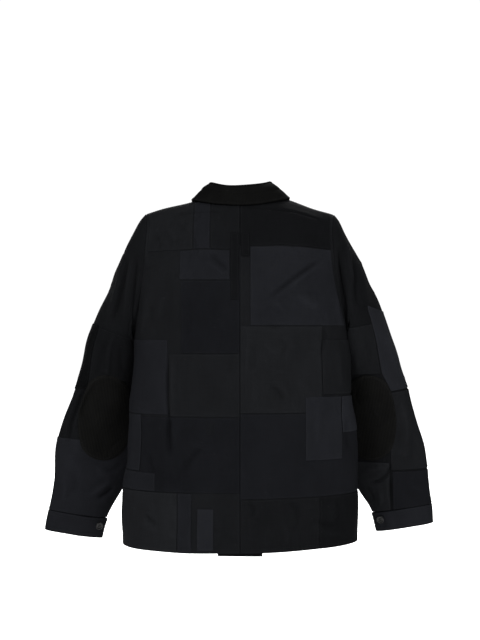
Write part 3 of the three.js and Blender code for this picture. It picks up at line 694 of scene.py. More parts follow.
def size_of(form):
    """(width, length, area) of the cut, measured on the smooth form in millimetres."""
    u, v = np.meshgrid(np.linspace(0, 1, 60), np.linspace(0, 1, 60))
    points = form["place"](u, v)
    across = np.linalg.norm(np.diff(points, axis=1), axis=-1)
    upward = np.linalg.norm(np.diff(points, axis=0), axis=-1)
    a, b = points[1:, 1:] - points[:-1, :-1], points[1:, :-1] - points[:-1, 1:]
    area = np.linalg.norm(np.cross(a, b), axis=-1).sum() / 2
    return across.sum(1).max(), upward.sum(0).max(), area


# %% A closed shell from two grids
def quad_mesh(name, points, faces):
    """A smooth mesh from points in metres and faces with four corners each."""
    mesh = bpy.data.meshes.new(name)
    mesh.vertices.add(len(points))
    mesh.vertices.foreach_set("co", points.ravel())
    mesh.loops.add(faces.size)
    mesh.loops.foreach_set("vertex_index", faces.ravel())
    mesh.polygons.add(len(faces))
    mesh.polygons.foreach_set("loop_start", np.arange(0, faces.size, 4))
    mesh.polygons.foreach_set("use_smooth", np.ones(len(faces), bool))
    return mesh


def wall_mesh(name, outer, inner, uv, marks, tube, turn):
    """A mesh between two grids of points. uv is in metres of cloth, and marks are named values a point."""
    rows, columns = outer.shape[:2]
    count = rows * columns
    index = np.arange(count).reshape(rows, columns)
    spans = columns if tube else columns - 1
    left, right = index[:, :spans], np.roll(index, -1, axis=1)[:, :spans]
    a, b, c, d = left[:-1], right[:-1], right[1:], left[1:]
    quads = [np.stack([a, b, c, d], -1), np.stack([a, d, c, b], -1) + count]
    low = np.stack([left[0], left[0] + count, right[0] + count, right[0]], -1)
    high = np.stack([left[-1], right[-1], right[-1] + count, left[-1] + count], -1)
    quads += [low, high]
    if not tube:
        first, last = index[:, 0], index[:, -1]
        quads.append(np.stack([first[:-1], first[1:], first[1:] + count, first[:-1] + count], -1))
        quads.append(np.stack([last[:-1], last[:-1] + count, last[1:] + count, last[1:]], -1))
    faces = np.concatenate([q.reshape(-1, 4) for q in quads])
    if turn < 0:
        faces = faces[:, ::-1]
    points = np.concatenate([outer.reshape(-1, 3), inner.reshape(-1, 3)]) * MM
    mesh = quad_mesh(name, points, faces)
    both = np.tile(uv.reshape(-1, 2), (2, 1))
    corner = both[faces.ravel()].reshape(-1, 4, 2)
    if tube:  # the last column meets the first, so its corners take the width all round
        whole = uv[..., 0].max() * columns / (columns - 1)
        wraps = np.ptp(corner[..., 0], axis=1) > whole / 2
        near = corner[..., 0] < whole / 2
        corner[..., 0] += np.where(wraps[:, None] & near, whole, 0)
    layer = mesh.uv_layers.new(name="cloth")
    layer.uv.foreach_set("vector", corner.astype(np.float32).ravel())
    for mark, values in marks.items():
        stored = mesh.attributes.new(mark, "FLOAT", "POINT")
        stored.data.foreach_set("value", np.tile(values.ravel(), 2).astype(np.float32))
    mesh.update(calc_edges=True)
    mesh.validate()
    return mesh


def add_piece(name, mesh, material, nodes=()):
    """Puts a mesh in the scene as a piece of the jacket."""
    piece = bpy.data.objects.new(name, mesh)
    scene.collection.objects.link(piece)
    if not mesh.materials:
        mesh.materials.append(material)
    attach(piece, "root")
    if nodes:
        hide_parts(*nodes)
    return piece


# %% [markdown]
# A patch's raw edges are turned under before it is sewn, so its border is a narrow band that stands a little
# higher than the rest, with a rounded edge. The stitches pull small puckers into that band. `cloth_heights`
# gives both sides of such a piece, and `close_steps` puts more grid lines into the border than elsewhere.

# %% The profile of a sewn-down edge
ROUNDING = 1.3  # radius of a turned edge
TURN_BAND = 7  # width of the turned-under band
TURN_RISE = 0.3  # how much higher it is
PUCKER = 0.22
PUCKER_LENGTH = 8.5
BORDER_STEPS = [0, 0.4, 1.0, 1.8, 3.4, 5.8, 8.2]


def close_steps(length, spacing):
    """Shares from 0 to 1 along a length: close at both ends, and evenly spaced between."""
    if length < 4 * BORDER_STEPS[-1]:
        border = [0, 0.4, 1.0, 1.8]
    else:
        border = BORDER_STEPS
    inside = length - 2 * border[-1]
    count = max(2, int(round(inside / spacing)))
    middle = border[-1] + inside * np.arange(1, count) / count
    ends = np.array(border, float)
    return np.concatenate([ends, middle, length - ends[::-1]]) / length


def rounding(distance):
    """The share of its full height that a turned edge has at a distance in from it."""
    return np.sqrt(1 - (1 - np.clip(distance / ROUNDING, 0, 1)) ** 2)


def cloth_heights(u, v, size, base, thick, tube=False, bands=(TURN_BAND, TURN_BAND)):
    """Outer and inner heights, and the mark of rubbed edges, at each point of a piece with turned edges."""
    width, length = size
    sides = np.full(u.shape, 1e6) if tube else np.minimum(u, 1 - u) * width
    low, high = v * length, (1 - v) * length
    distance = np.minimum(sides, np.minimum(low, high))
    edge = np.clip(distance / ROUNDING, 0, 1)
    rounded = np.sqrt(1 - (1 - edge) ** 2)
    turned = np.maximum(1 - smooth((sides - TURN_BAND) / 2), 1 - smooth((low - bands[0]) / 2))
    turned = np.maximum(turned, 1 - smooth((high - bands[1]) / 2))
    run = np.where(sides < np.minimum(low, high), v * length, u * width)
    wander = 2.2 * np.sin(run / 23.0 + length) + 1.3 * np.sin(run / 9.7 + width)
    ripple = np.sin(2 * math.pi * run / PUCKER_LENGTH + wander)
    ripple *= PUCKER * np.exp(-distance / 6) * smooth(distance / 2)
    outer = base + thick * (0.15 + 0.85 * rounded) + TURN_RISE * turned * rounded + ripple
    inner = base - 0.15 * (1 - rounded) + 0 * u
    return outer, inner, np.exp(-distance / 2.2)


print("a turned edge has", len(BORDER_STEPS), "lines in its border")

# %% [markdown]
# ## Finishes
#
# Each finish is a Principled shader fed by a few small node groups, and every group does one job. `weave`
# raises the threads, `old_dye` makes the colour uneven, `wear_and_crease_shade` makes worn edges paler and
# paints crease troughs darker as painted shade and crests paler, partly as wear and partly as painted
# highlight, and `lint` adds the pale specks that black cotton always picks up. Threads run along each piece's
# own grain, so the groups read the piece's cloth map, which is laid out in metres.


# %% Building node groups
NUMBER, COLOUR = "NodeSocketFloat", "NodeSocketColor"


def new_group(name, inputs, outputs):
    """A shader node group with named sockets. Returns it and its two end nodes."""
    group = bpy.data.node_groups.new(name, "ShaderNodeTree")
    for label, kind, value in inputs:
        socket = group.interface.new_socket(name=label, in_out="INPUT", socket_type=kind)
        if value is not None:
            socket.default_value = value
    for label, kind in outputs:
        group.interface.new_socket(name=label, in_out="OUTPUT", socket_type=kind)
    return group, group.nodes.new("NodeGroupInput"), group.nodes.new("NodeGroupOutput")


def calculate(tree, operation, *values):
    """A Math node on numbers or sockets."""
    node = tree.nodes.new("ShaderNodeMath")
    node.operation = operation
    for socket, value in zip(node.inputs, values):
        if isinstance(value, (int, float)):
            socket.default_value = value
        else:
            tree.links.new(value, socket)
    return node.outputs[0]


def noise(tree, vector, scale, detail=2.0, stretch=None):
    """A Noise texture's value, from 0 to 1, stretched where asked."""
    if stretch:
        mapping = tree.nodes.new("ShaderNodeMapping")
        mapping.inputs["Scale"].default_value = stretch
        tree.links.new(vector, mapping.inputs["Vector"])
        vector = mapping.outputs["Vector"]
    node = tree.nodes.new("ShaderNodeTexNoise")
    node.inputs["Scale"].default_value = scale
    node.inputs["Detail"].default_value = detail
    tree.links.new(vector, node.inputs["Vector"])
    return node.outputs["Fac"]


def object_place(tree):
    """Where a point lies on the piece, in metres."""
    return tree.nodes.new("ShaderNodeTexCoord").outputs["Object"]


def times_colour(tree, colour, factor):
    """A colour multiplied by a number at each point."""
    node = tree.nodes.new("ShaderNodeVectorMath")
    node.operation = "SCALE"
    tree.links.new(colour, node.inputs[0])
    tree.links.new(factor, node.inputs["Scale"])
    return node.outputs["Vector"]


# %% Weave
weave, start, end = new_group(
    "weave",
    [
        ("Cloth", "NodeSocketVector", None),
        ("Threads", NUMBER, 1100.0),
        ("Twill", NUMBER, 0.0),
        ("Slub", NUMBER, 0.3),
    ],
    [("Height", NUMBER), ("Shade", NUMBER)],
)
parts = weave.nodes.new("ShaderNodeSeparateXYZ")
weave.links.new(start.outputs["Cloth"], parts.inputs[0])
turns = calculate(weave, "MULTIPLY", start.outputs["Threads"], 2 * math.pi)
warp = calculate(weave, "MULTIPLY", parts.outputs["X"], turns)
weft = calculate(weave, "MULTIPLY", parts.outputs["Y"], turns)
over = calculate(weave, "MULTIPLY", calculate(weave, "SINE", warp), calculate(weave, "SINE", weft))
slanting = calculate(weave, "SINE", calculate(weave, "ADD", warp, weft))
blend = weave.nodes.new("ShaderNodeMix")
weave.links.new(start.outputs["Twill"], blend.inputs["Factor"])
weave.links.new(over, blend.inputs["A"])
weave.links.new(slanting, blend.inputs["B"])
thick_warp = noise(weave, start.outputs["Cloth"], 30, 3, (18, 0.8, 1))
thick_weft = noise(weave, start.outputs["Cloth"], 30, 3, (0.8, 18, 1))
slubs = calculate(weave, "SUBTRACT", calculate(weave, "ADD", thick_warp, thick_weft), 1.0)
slubs = calculate(weave, "MULTIPLY", slubs, start.outputs["Slub"])
height = calculate(weave, "ADD", blend.outputs["Result"], calculate(weave, "MULTIPLY", slubs, 5.0))
weave.links.new(height, end.inputs["Height"])
weave.links.new(calculate(weave, "ADD", slubs, 1.0), end.inputs["Shade"])

# %% Old dye, worn places and lint
old_dye, start, end = new_group(
    "old_dye",
    [("Color", COLOUR, None), ("Shade", NUMBER, 1.0), ("Uneven", NUMBER, 0.5)],
    [("Color", COLOUR), ("Roughness", NUMBER)],
)
place = object_place(old_dye)
clouds = calculate(old_dye, "SUBTRACT", noise(old_dye, place, 13, 4), 0.5)
streaks = calculate(old_dye, "SUBTRACT", noise(old_dye, place, 42, 3, (1, 1, 0.25)), 0.5)
uneven = calculate(old_dye, "ADD", clouds, calculate(old_dye, "MULTIPLY", streaks, 0.5))
uneven = calculate(old_dye, "MULTIPLY", uneven, start.outputs["Uneven"])
factor = calculate(old_dye, "MULTIPLY", calculate(old_dye, "ADD", uneven, 1.0), start.outputs["Shade"])
old_dye.links.new(times_colour(old_dye, start.outputs["Color"], factor), end.inputs["Color"])
rough = calculate(old_dye, "ADD", calculate(old_dye, "MULTIPLY", uneven, 0.3), 0.84)
old_dye.links.new(rough, end.inputs["Roughness"])

wear_and_crease_shade, start, end = new_group(
    "wear_and_crease_shade",
    [("Color", COLOUR, None), ("Edge", NUMBER, 0.0), ("Crest", NUMBER, 0.0), ("Wear", NUMBER, 0.5)],
    [("Color", COLOUR)],
)
place = object_place(wear_and_crease_shade)
patchy = calculate(wear_and_crease_shade, "ADD", noise(wear_and_crease_shade, place, 160, 3), 0.1)
rubbed = calculate(wear_and_crease_shade, "MULTIPLY", start.outputs["Edge"], patchy)
# Painted shade: crease troughs are painted darker, and crests paler, partly as wear and partly as painted
# highlight. Only the rubbed edges are plain wear.
creased = calculate(wear_and_crease_shade, "MULTIPLY", start.outputs["Crest"], 0.5)
both = calculate(wear_and_crease_shade, "ADD", rubbed, creased)
paler = calculate(wear_and_crease_shade, "MULTIPLY", both, start.outputs["Wear"])
paler = calculate(wear_and_crease_shade, "ADD", paler, 1.0)
wear_and_crease_shade.links.new(times_colour(wear_and_crease_shade, start.outputs["Color"], paler), end.inputs["Color"])

lint, start, end = new_group(
    "lint",
    [("Color", COLOUR, None), ("Amount", NUMBER, 0.02)],
    [("Color", COLOUR)],
)
place = object_place(lint)
cells = lint.nodes.new("ShaderNodeTexVoronoi")
cells.inputs["Scale"].default_value = 120
lint.links.new(place, cells.inputs["Vector"])
chance = lint.nodes.new("ShaderNodeSeparateColor")
lint.links.new(cells.outputs["Color"], chance.inputs[0])
speck = calculate(lint, "LESS_THAN", cells.outputs["Distance"], 0.07)
rare = calculate(lint, "GREATER_THAN", chance.outputs[0], 0.93)
amount = calculate(lint, "MULTIPLY", calculate(lint, "MULTIPLY", speck, rare), start.outputs["Amount"])
pale = lint.nodes.new("ShaderNodeCombineColor")
for socket in pale.inputs:
    if socket.type == "VALUE":
        lint.links.new(amount, socket)
added = lint.nodes.new("ShaderNodeVectorMath")
added.operation = "ADD"
lint.links.new(start.outputs["Color"], added.inputs[0])
lint.links.new(pale.outputs[0], added.inputs[1])
lint.links.new(added.outputs["Vector"], end.inputs["Color"])
print("node groups:", [group.name for group in bpy.data.node_groups])


# %% Cloth materials
def place_group(tree, group, **values):
    """A node that holds a group, with numbers set and sockets linked by name."""
    node = tree.nodes.new("ShaderNodeGroup")
    node.node_tree = group
    for label, value in values.items():
        if isinstance(value, bpy.types.NodeSocket):
            tree.links.new(value, node.inputs[label])
        else:
            node.inputs[label].default_value = value
    return node


def add_bump(tree, shader, height, depth, strength):
    """Tilts a shader's normal by a height, which stands for relief of a depth in metres."""
    bump = tree.nodes.new("ShaderNodeBump")
    bump.inputs["Distance"].default_value = depth
    bump.inputs["Strength"].default_value = strength
    tree.links.new(height, bump.inputs["Height"])
    tree.links.new(bump.outputs["Normal"], shader.inputs["Normal"])


def mark(tree, name):
    """A named value that the mesh keeps at each point."""
    node = tree.nodes.new("ShaderNodeAttribute")
    node.attribute_name = name
    return node.outputs["Fac"]


def cloth_material(name, colour, threads=1100, twill=0.0, slub=0.3, uneven=0.5, wear_and_shade=0.4, depth=0.00012):
    """Woven cotton of one colour, with its own thread count and weave."""
    made, tree, shader = shader_material(name)
    cloth = tree.nodes.new("ShaderNodeUVMap")
    cloth.uv_map = "cloth"
    threads_node = place_group(
        tree, weave, Cloth=cloth.outputs["UV"], Threads=threads, Twill=twill, Slub=slub
    )
    dye = place_group(tree, old_dye, Color=(*colour, 1), Shade=threads_node.outputs["Shade"], Uneven=uneven)
    # The crest mark paints painted shade into crease troughs and paler crests, partly wear and partly painted
    # highlight; the amount scales both this and the rubbed edges.
    edge, crest_wear_and_shade = mark(tree, "edge"), mark(tree, "crest_wear_and_shade")
    worn = place_group(tree, wear_and_crease_shade, Color=dye.outputs["Color"], Edge=edge, Crest=crest_wear_and_shade, Wear=wear_and_shade)
    specks = place_group(tree, lint, Color=worn.outputs["Color"])
    tree.links.new(specks.outputs["Color"], shader.inputs["Base Color"])
    tree.links.new(dye.outputs["Roughness"], shader.inputs["Roughness"])
    add_bump(tree, shader, threads_node.outputs["Height"], depth, 0.6)
    shader.inputs["Specular IOR Level"].default_value = CLOTH_GLOSS
    return made


# The cottons, from the darkest to the palest. Some lean to navy and some to grey.
CLOTH_GLOSS = 0.015
BLACK = 0.0067
NAVY_LEAN = (0.95, 1.0, 1.2)
GREY_LEAN = (0.95, 1.0, 1.12)


def dark_colour(tone, lean=GREY_LEAN):
    return tuple(BLACK * tone * part for part in lean)


shell_cotton = cloth_material("shell_cotton", dark_colour(1.0), threads=1300, slub=0.25)
sleeve_cotton = cloth_material("sleeve_cotton", dark_colour(0.75), threads=1300, slub=0.25)
thread_material, tree, shader = shader_material("sewing_thread")
fibres = noise(tree, object_place(tree), 900, 2)
fibre_shade = between(tree, fibres, dark_colour(0.7), dark_colour(1.5))
tree.links.new(fibre_shade, shader.inputs["Base Color"])
shader.inputs["Roughness"].default_value = 0.6
shader.inputs["Specular IOR Level"].default_value = 0.06
print("first cloth:", shell_cotton.name)

# %% [markdown]
# ## Sewing
#
# `sew_cloth` makes a piece from its form. `stitch_along` follows a line on the piece and lays one short
# thread after another, each dipping into the cloth at its ends. The threads of one panel are kept together
# and become one mesh, because thousands of separate objects would be slow.


# %% Making a piece of cloth, and stitches
def sew_cloth(name, form, material, nodes, spacing, sink=None):
    width, length, area = size_of(form)
    across = close_steps(width, spacing)
    if form["tube"]:
        across = np.arange(int(width / spacing)) / int(width / spacing)
    u, v = np.meshgrid(across, close_steps(length, spacing))
    points = form["place"](u, v)
    normals = normals_of(form, u, v)
    high, low, edge = form["heights"](u, v)
    folds = form["creases"](points, u, v)
    base = folds + slow_waves(points)
    if sink is not None:
        base = base - sink(points, u, v)
    outer = points + normals * (base + high)[..., None]
    inner = points + normals * (base + low)[..., None]
    uv = np.stack([u * width, v * length], -1) * MM
    # The crest mark is the creases' height: the finish paints crease troughs darker as painted shade and
    # crests paler, partly as wear and partly as painted highlight.
    marks = {"edge": edge, "crest_wear_and_shade": np.clip(folds / 3, -1, 1)}
    turned = form["turn"]
    mesh = wall_mesh(name, outer, inner, uv, marks, form["tube"], turned)
    piece = add_piece(name, mesh, material, nodes)


STITCH = 2.8  # length of a stitch
STITCH_STEP = 4.0  # from one stitch to the next
THREAD = 0.3  # half a thread's thickness
stitch_lines = {}


def stitch_along(group, form, u, v, step=STITCH_STEP, stitch=STITCH, radius=THREAD):
    """Adds stitches along a line on a form to a group of threads."""
    u, v = np.asarray(u, float), np.asarray(v, float)
    normals = normals_of(form, u, v)
    points = lifted(form, u, v, form["heights"](u, v)[0])
    run = np.concatenate([[0], np.cumsum(np.linalg.norm(np.diff(points, axis=0), axis=1))])
    starts = np.arange(step / 2, run[-1] - stitch, step)
    if not len(starts):
        return
    at = starts[:, None] + stitch * np.array([0, 0.5, 1.0])
    place = np.stack([np.interp(at, run, points[:, k]) for k in range(3)], -1)
    normal = np.stack([np.interp(at, run, normals[:, k]) for k in range(3)], -1)
    normal /= np.linalg.norm(normal, axis=-1, keepdims=True)
    rise = np.array([-0.25, 0.22, -0.25])[None, :, None]
    stitch_lines.setdefault(group, []).append((place + normal * rise, normal, radius))


def thread_mesh(name, lines):
    """One mesh of all the threads in a list: four-sided tubes with pinched ends."""
    points, faces, base = [], [], 0
    corner = np.array([(1, 0), (0, 1), (-1, 0), (0, -1)], float)
    for place, normal, radius in lines:
        count, rings = place.shape[:2]
        ahead = place[:, -1] - place[:, 0]
        ahead /= np.maximum(np.linalg.norm(ahead, axis=-1, keepdims=True), 1e-9)
        aside = np.cross(ahead[:, None, :], normal)
        thin = np.ones(rings)
        thin[[0, -1]] = 0.6
        spread = corner[None, None, :, 0, None] * aside[:, :, None, :]
        upright = corner[None, None, :, 1, None] * normal[:, :, None, :]
        ring = place[:, :, None, :] + radius * thin[None, :, None, None] * (spread + upright)
        index = base + np.arange(count * rings * 4).reshape(count, rings, 4)
        nxt = np.roll(index, -1, axis=2)
        sides = np.stack([index[:, :-1], nxt[:, :-1], nxt[:, 1:], index[:, 1:]], -1)
        faces += [sides.reshape(-1, 4), index[:, 0, ::-1], index[:, -1]]
        points.append(ring.reshape(-1, 3))
        base += count * rings * 4
    faces = np.concatenate(faces)
    points = np.concatenate(points) * MM
    mesh = quad_mesh(name, points, faces)
    mesh.update(calc_edges=True)
    return mesh


def stitch_border(group, form, inset=2.2, low=None, high=None):
    """Stitches round a piece, a little way in from its edges."""
    width, length, _ = size_of(form)
    low = inset if low is None else low
    high = inset if high is None else high
    a, b = inset / width, 1 - inset / width
    c, d = low / length, 1 - high / length
    t = np.linspace(0, 1, 120)
    if form["tube"]:
        stitch_along(group, form, t, np.full(120, c))
        stitch_along(group, form, t, np.full(120, d))
        return
    stitch_along(group, form, mix(a, b, t), np.full(120, c))
    stitch_along(group, form, mix(a, b, t), np.full(120, d))
    stitch_along(group, form, np.full(120, a), mix(c, d, t))
    stitch_along(group, form, np.full(120, b), mix(c, d, t))


print("stitches are", STITCH, "mm long,", STITCH_STEP, "mm apart")

# %% [markdown]
# ## The four body panels
#
# Two backs and two fronts make the body. The left front laps over the right one, as on a shirt jacket with
# buttons on the wearer's right. A panel sinks a little where a patch covers it, so that a sharp crease in it
# can't come up through the patch.

# %% The patches' layout
EDGE = 999
NEAR_EDGE = -5
TOP_ROW = -39
UNDER_HEM = HEM_Z
# panel, start and end across it, lower and upper row, layer, tone, lean, thread count, twill, slub
BODY_PATCHES = {
    "patch_shoulder_left": ("back_left", 93, NEAR_EDGE, -116, TOP_ROW, 1, 1.05, GREY_LEAN, 1000, 0.0, 0.4),
    "patch_tall_left": ("back_left", 59, 92, -116, TOP_ROW, 1, 1.2, NAVY_LEAN, 1400, 1.0, 0.2),
    "patch_wide_left": ("back_left", 20, 119, -171, -117, 1, 1.25, NAVY_LEAN, 1400, 1.0, 0.2),
    "patch_neck_left": ("back_left", 0, 58, -116, TOP_ROW, 1, 0.83, GREY_LEAN, 1200, 0.0, 0.3),
    "patch_strip_left": ("back_left", 2, 19, -211, -88, 2, 0.62, GREY_LEAN, 1200, 0.0, 0.3),
    "patch_middle_left": ("back_left", 0, 116, -316, -172, 1, 0.85, NAVY_LEAN, 1500, 0.0, 0.2),
    "patch_flank_left": ("back_left", 143, EDGE, -437, -289, 1, 1.2, NAVY_LEAN, 1100, 0.0, 0.3),
    "patch_square_left": ("back_left", 0, 142, -440, -317, 1, 1.08, GREY_LEAN, 1100, 0.0, 0.35),
    "patch_dark_left": ("back_left", 0, 203, -586, -441, 1, 0.9, NAVY_LEAN, 1300, 1.0, 0.25),
    "patch_side_left": ("back_left", 204, EDGE, -549, -438, 1, 1.37, NAVY_LEAN, 1200, 0.0, 0.3),
    "patch_corner_left": ("back_left", 169, EDGE, -586, -550, 2, 1.25, NAVY_LEAN, 1200, 0.0, 0.3),
    "patch_hem_left": ("back_left", 124, EDGE, UNDER_HEM, -587, 1, 1.33, GREY_LEAN, 1000, 0.0, 0.4),
    "patch_hem_slim_left": ("back_left", 95, 123, UNDER_HEM, -587, 1, 1.25, NAVY_LEAN, 1300, 1.0, 0.2),
    "patch_hem_small_left": ("back_left", 52, 84, HEM_Z + 5, -616, 1, 1.6, NAVY_LEAN, 1200, 0.0, 0.2),
    "patch_yoke_right": ("back_right", 0, NEAR_EDGE, -110, TOP_ROW, 1, 0.62, GREY_LEAN, 1200, 0.0, 0.3),
    "patch_strip_right": ("back_right", 2, 19, -127, -88, 2, 0.58, GREY_LEAN, 1200, 0.0, 0.3),
    "patch_big_right": ("back_right", 20, NEAR_EDGE, -261, -111, 1, 1.4, NAVY_LEAN, 1100, 0.0, 0.3),
    "patch_middle_right": ("back_right", 0, 162, -433, -262, 1, 1.25, GREY_LEAN, 1000, 0.0, 0.4),
    "patch_flank_right": ("back_right", 163, EDGE, -398, -289, 1, 1.12, GREY_LEAN, 1200, 1.0, 0.25),
    "patch_wide_right": ("back_right", 0, EDGE, -598, -434, 1, 1.02, NAVY_LEAN, 1400, 0.0, 0.2),
    "patch_pale_right": ("back_right", 128, 199, -527, -402, 2, 1.5, NAVY_LEAN, 1300, 0.0, 0.2),
    "patch_pale_side_right": ("back_right", 200, EDGE, -475, -402, 2, 1.85, NAVY_LEAN, 1300, 0.0, 0.2),
    "patch_hem_right": ("back_right", 0, 156, UNDER_HEM, -599, 1, 0.87, GREY_LEAN, 1100, 0.0, 0.4),
    "patch_hem_side_right": ("back_right", 157, EDGE, UNDER_HEM, -599, 1, 0.66, GREY_LEAN, 1100, 0.0, 0.4),
    "patch_chest_left": ("front_left", 88, NEAR_EDGE, -232, -86, 1, 1.4, NAVY_LEAN, 1200, 0.0, 0.3),
    "patch_waist_left": ("front_left", 80, 190, -470, -318, 1, 1.1, GREY_LEAN, 1300, 1.0, 0.2),
    "patch_front_hem_left": ("front_left", 124, EDGE, -640, -520, 1, 0.8, GREY_LEAN, 1100, 0.0, 0.4),
    "patch_chest_right": ("front_right", 84, 170, -276, -124, 1, 0.8, NAVY_LEAN, 1300, 0.0, 0.3),
    "patch_waist_right": ("front_right", 116, EDGE, -452, -330, 1, 1.15, GREY_LEAN, 1100, 0.0, 0.3),
    "patch_front_hem_right": ("front_right", 76, 178, -648, -498, 1, 1.45, NAVY_LEAN, 1200, 0.0, 0.25),
}
PANELS = {
    "back_left": (1, 1, SEAM / 2),
    "back_right": (1, -1, SEAM / 2),
    "front_left": (-1, 1, -PLACKET),
    "front_right": (-1, -1, -PLACKET),
}


# %% Panel and patch forms
PULL_LEFT, PULL_RIGHT = 6, 4  # how far each side leans towards the wearer's right, from underarm to hip
PULL_GROWS = 70  # the lean comes in over this drop below the underarm
PULL_ENDS, PULL_FADES = -610, 90  # it is gone at this height, and fades out over this drop above it
PULL_FROM_X, PULL_OVER_X = 110, 100  # only the sides lean, from this far out and fully this much further


def side_pull(x, z):
    """The jacket hangs a little closer on the wearer's left side, and a little further out on the right."""
    reach = smooth((UNDERARM_Z - z) / PULL_GROWS) * smooth((z - PULL_ENDS) / PULL_FADES)
    return reach * smooth((np.abs(x) - PULL_FROM_X) / PULL_OVER_X) * np.where(x > 0, PULL_LEFT, PULL_RIGHT)


def panel_point(panel, u, level):
    """A point of a panel: u from its centre line to its side edge, on the row that is named by its level."""
    face, side, inner = PANELS[panel]
    x = inner + (side_edge(level) - inner) * share_at(u)
    z = row_height(face, x, level) - row_drop(side * x, level)
    point = body_point(face, x, row_height(face, x, level))
    point[..., 0] *= side
    point[..., 0] -= side_pull(point[..., 0], z)
    point[..., 2] = z
    if panel == "front_left":
        point[..., 1] -= PLACKET_LIFT * (1 - smooth((x - PLACKET - 3) / 14))
    return point


def body_creases(panel):
    listed = BACK_CREASES if PANELS[panel][0] > 0 else FRONT_CREASES
    return lambda points, u, v: crease_sum(points, listed)


def inside_of(panel):
    return (60 * PANELS[panel][1], 0, -350)


def panel_form(panel):
    lengths = length_down(HEM_Z), length_down(TIP_Z)
    form = make_form(lambda u, v: panel_point(panel, u, level_at(mix(*lengths, v))), body_creases(panel))
    return facing(form, inside_of(panel))


def patch_form(panel, start, end, low, high):
    """The part of a panel between two widths and two rows."""
    inner = PANELS[panel][2]
    low_inset = 0 if low == HEM_Z else 0.5
    lengths = length_down(low + low_inset), length_down(high - 0.5)

    def across(width, inset, edge):
        x = edge + width if width < 0 else np.minimum(width, edge)
        return u_at(np.clip((x + inset - inner) / (edge - inner), 0, 1))

    def place(u, v):
        level = level_at(mix(*lengths, v))
        edge = side_edge(level)
        return panel_point(panel, mix(across(start, 0.5, edge), across(end, -0.5, edge), u), level)

    return facing(make_form(place, body_creases(panel)), inside_of(panel))


PAST_SEAM = 9  # under a patch that runs into a seam or the hem, the sinking goes this far past it


def covered(panel, layers, depth):
    """How far cloth on a panel sinks under the patches of some layers."""
    face, side, _ = PANELS[panel]
    rects = [p[1:5] for p in BODY_PATCHES.values() if p[0] == panel and p[5] in layers]

    def sink(points, u, v):
        x, z = points[..., 0] * side, points[..., 2] + row_drop(points[..., 0], points[..., 2])
        top = top_edge(face, np.abs(x))
        level = np.where(z > LEVEL_Z, LEVEL_Z + (z - LEVEL_Z) / (top - LEVEL_Z) * (TIP_Z - LEVEL_Z), z)
        edge = side_edge(level)
        total = np.zeros(x.shape)
        for start, end, low, high in rects:
            a = edge + start if start < 0 else start
            b = edge + end if end < 0 else np.minimum(end, edge + PAST_SEAM)
            low = low - PAST_SEAM if low == HEM_Z else low
            start_gap = x - a + (PAST_SEAM if start == 0 else 0)
            inside = np.minimum(np.minimum(start_gap, b - x), np.minimum(level - low, high - level))
            total = np.maximum(total, smooth((inside - 1.5) / 3))
        return depth * total

    return sink


print("patches on the body:", len(BODY_PATCHES))

# %% Sewing the panels and their patches
PANEL_SPACING = 5
PATCH_SPACING = 3.8
HEM_BAND = 10
UNDER_ONE = 0.9  # how far a panel sinks under a patch
UNDER_TWO = 0.5  # how far a patch sinks under another


patch_forms = {}
for panel in PANELS:
    form = panel_form(panel)
    width, length, _ = size_of(form)
    form["heights"] = lambda u, v, s=(width, length): cloth_heights(u, v, s, 0, CLOTH, bands=(HEM_BAND, 8))
    sink = covered(panel, (1,), UNDER_ONE)
    sew_cloth(f"cloth_{panel}", form, shell_cotton, [panel], PANEL_SPACING, sink)
    stitch_border(panel, form, inset=4, low=HEM_BAND - 1.5, high=4)
    patch_forms[panel] = form

for name, (panel, start, end, low, high, layer, tone, lean, threads, twill, slub) in BODY_PATCHES.items():
    form = patch_form(panel, start, end, low, high)
    width, length, _ = size_of(form)
    base = LAYER_ONE if layer == 1 else LAYER_TWO
    bands = (HEM_BAND if low == HEM_Z else TURN_BAND, TURN_BAND)
    size = width, length
    form["heights"] = lambda u, v, s=size, b=base, k=bands: cloth_heights(u, v, s, b, PATCH, bands=k)
    cotton = cloth_material(f"{name}_cotton", dark_colour(tone, lean), threads, twill, slub)
    sink = covered(panel, (2,), UNDER_TWO) if layer == 1 else None
    sew_cloth(f"cloth_{name}", form, cotton, [name], PATCH_SPACING, sink)
    stitch_border(panel, form, low=HEM_BAND - 1.5 if low == HEM_Z else None)
    patch_forms[name] = form
# One worn spot on the left back is darned with close rows of thread.
DARN = {"patch": "patch_dark_left", "u": (0.22, 0.31), "v": (0.78, 0.95), "rows": 20}
for row in np.linspace(*DARN["v"], DARN["rows"]):
    u = np.linspace(*DARN["u"], 30)
    stitch_along("back_left", patch_forms[DARN["patch"]], u, np.full(30, row), step=2.6, stitch=2.3)
print("body pieces:", len(patch_forms))

# %% [markdown]
# ## Sleeves
#
# A sleeve is one tube. Its first rows run in under the body's edge and its last rows run in under the cuff,
# so that no gap shows at either seam. A sleeve patch is drawn in the view from behind: lines give its upper
# and lower edge and its side, and the patch wraps round a fold of the sleeve wherever it reaches past it.

# %% Sleeve form
SLEEVE_START = -0.3  # stations: the sleeve's hidden start under the body, and its end under the cuff
SLEEVE_END = 11.12
STATION_LENGTH = 56  # a station's mean length and the sleeve's mean radius, for rough distances
MEAN_RADIUS = 60


def sleeve_creases(side, angle_of):
    behind = SLEEVE_CREASES["left_back" if side > 0 else "right_back"]
    before = SLEEVE_CREASES["left_front" if side > 0 else "right_front"]

    def height(points, u, v):
        sine = np.sin(angle_of(u, v))
        total = crease_sum(points, behind) * smooth((sine + 0.25) / 0.5)
        return total + crease_sum(points, before) * smooth((0.25 - sine) / 0.5)

    return height


def sleeve_middle(side):
    return (side * 268, -34, -300)


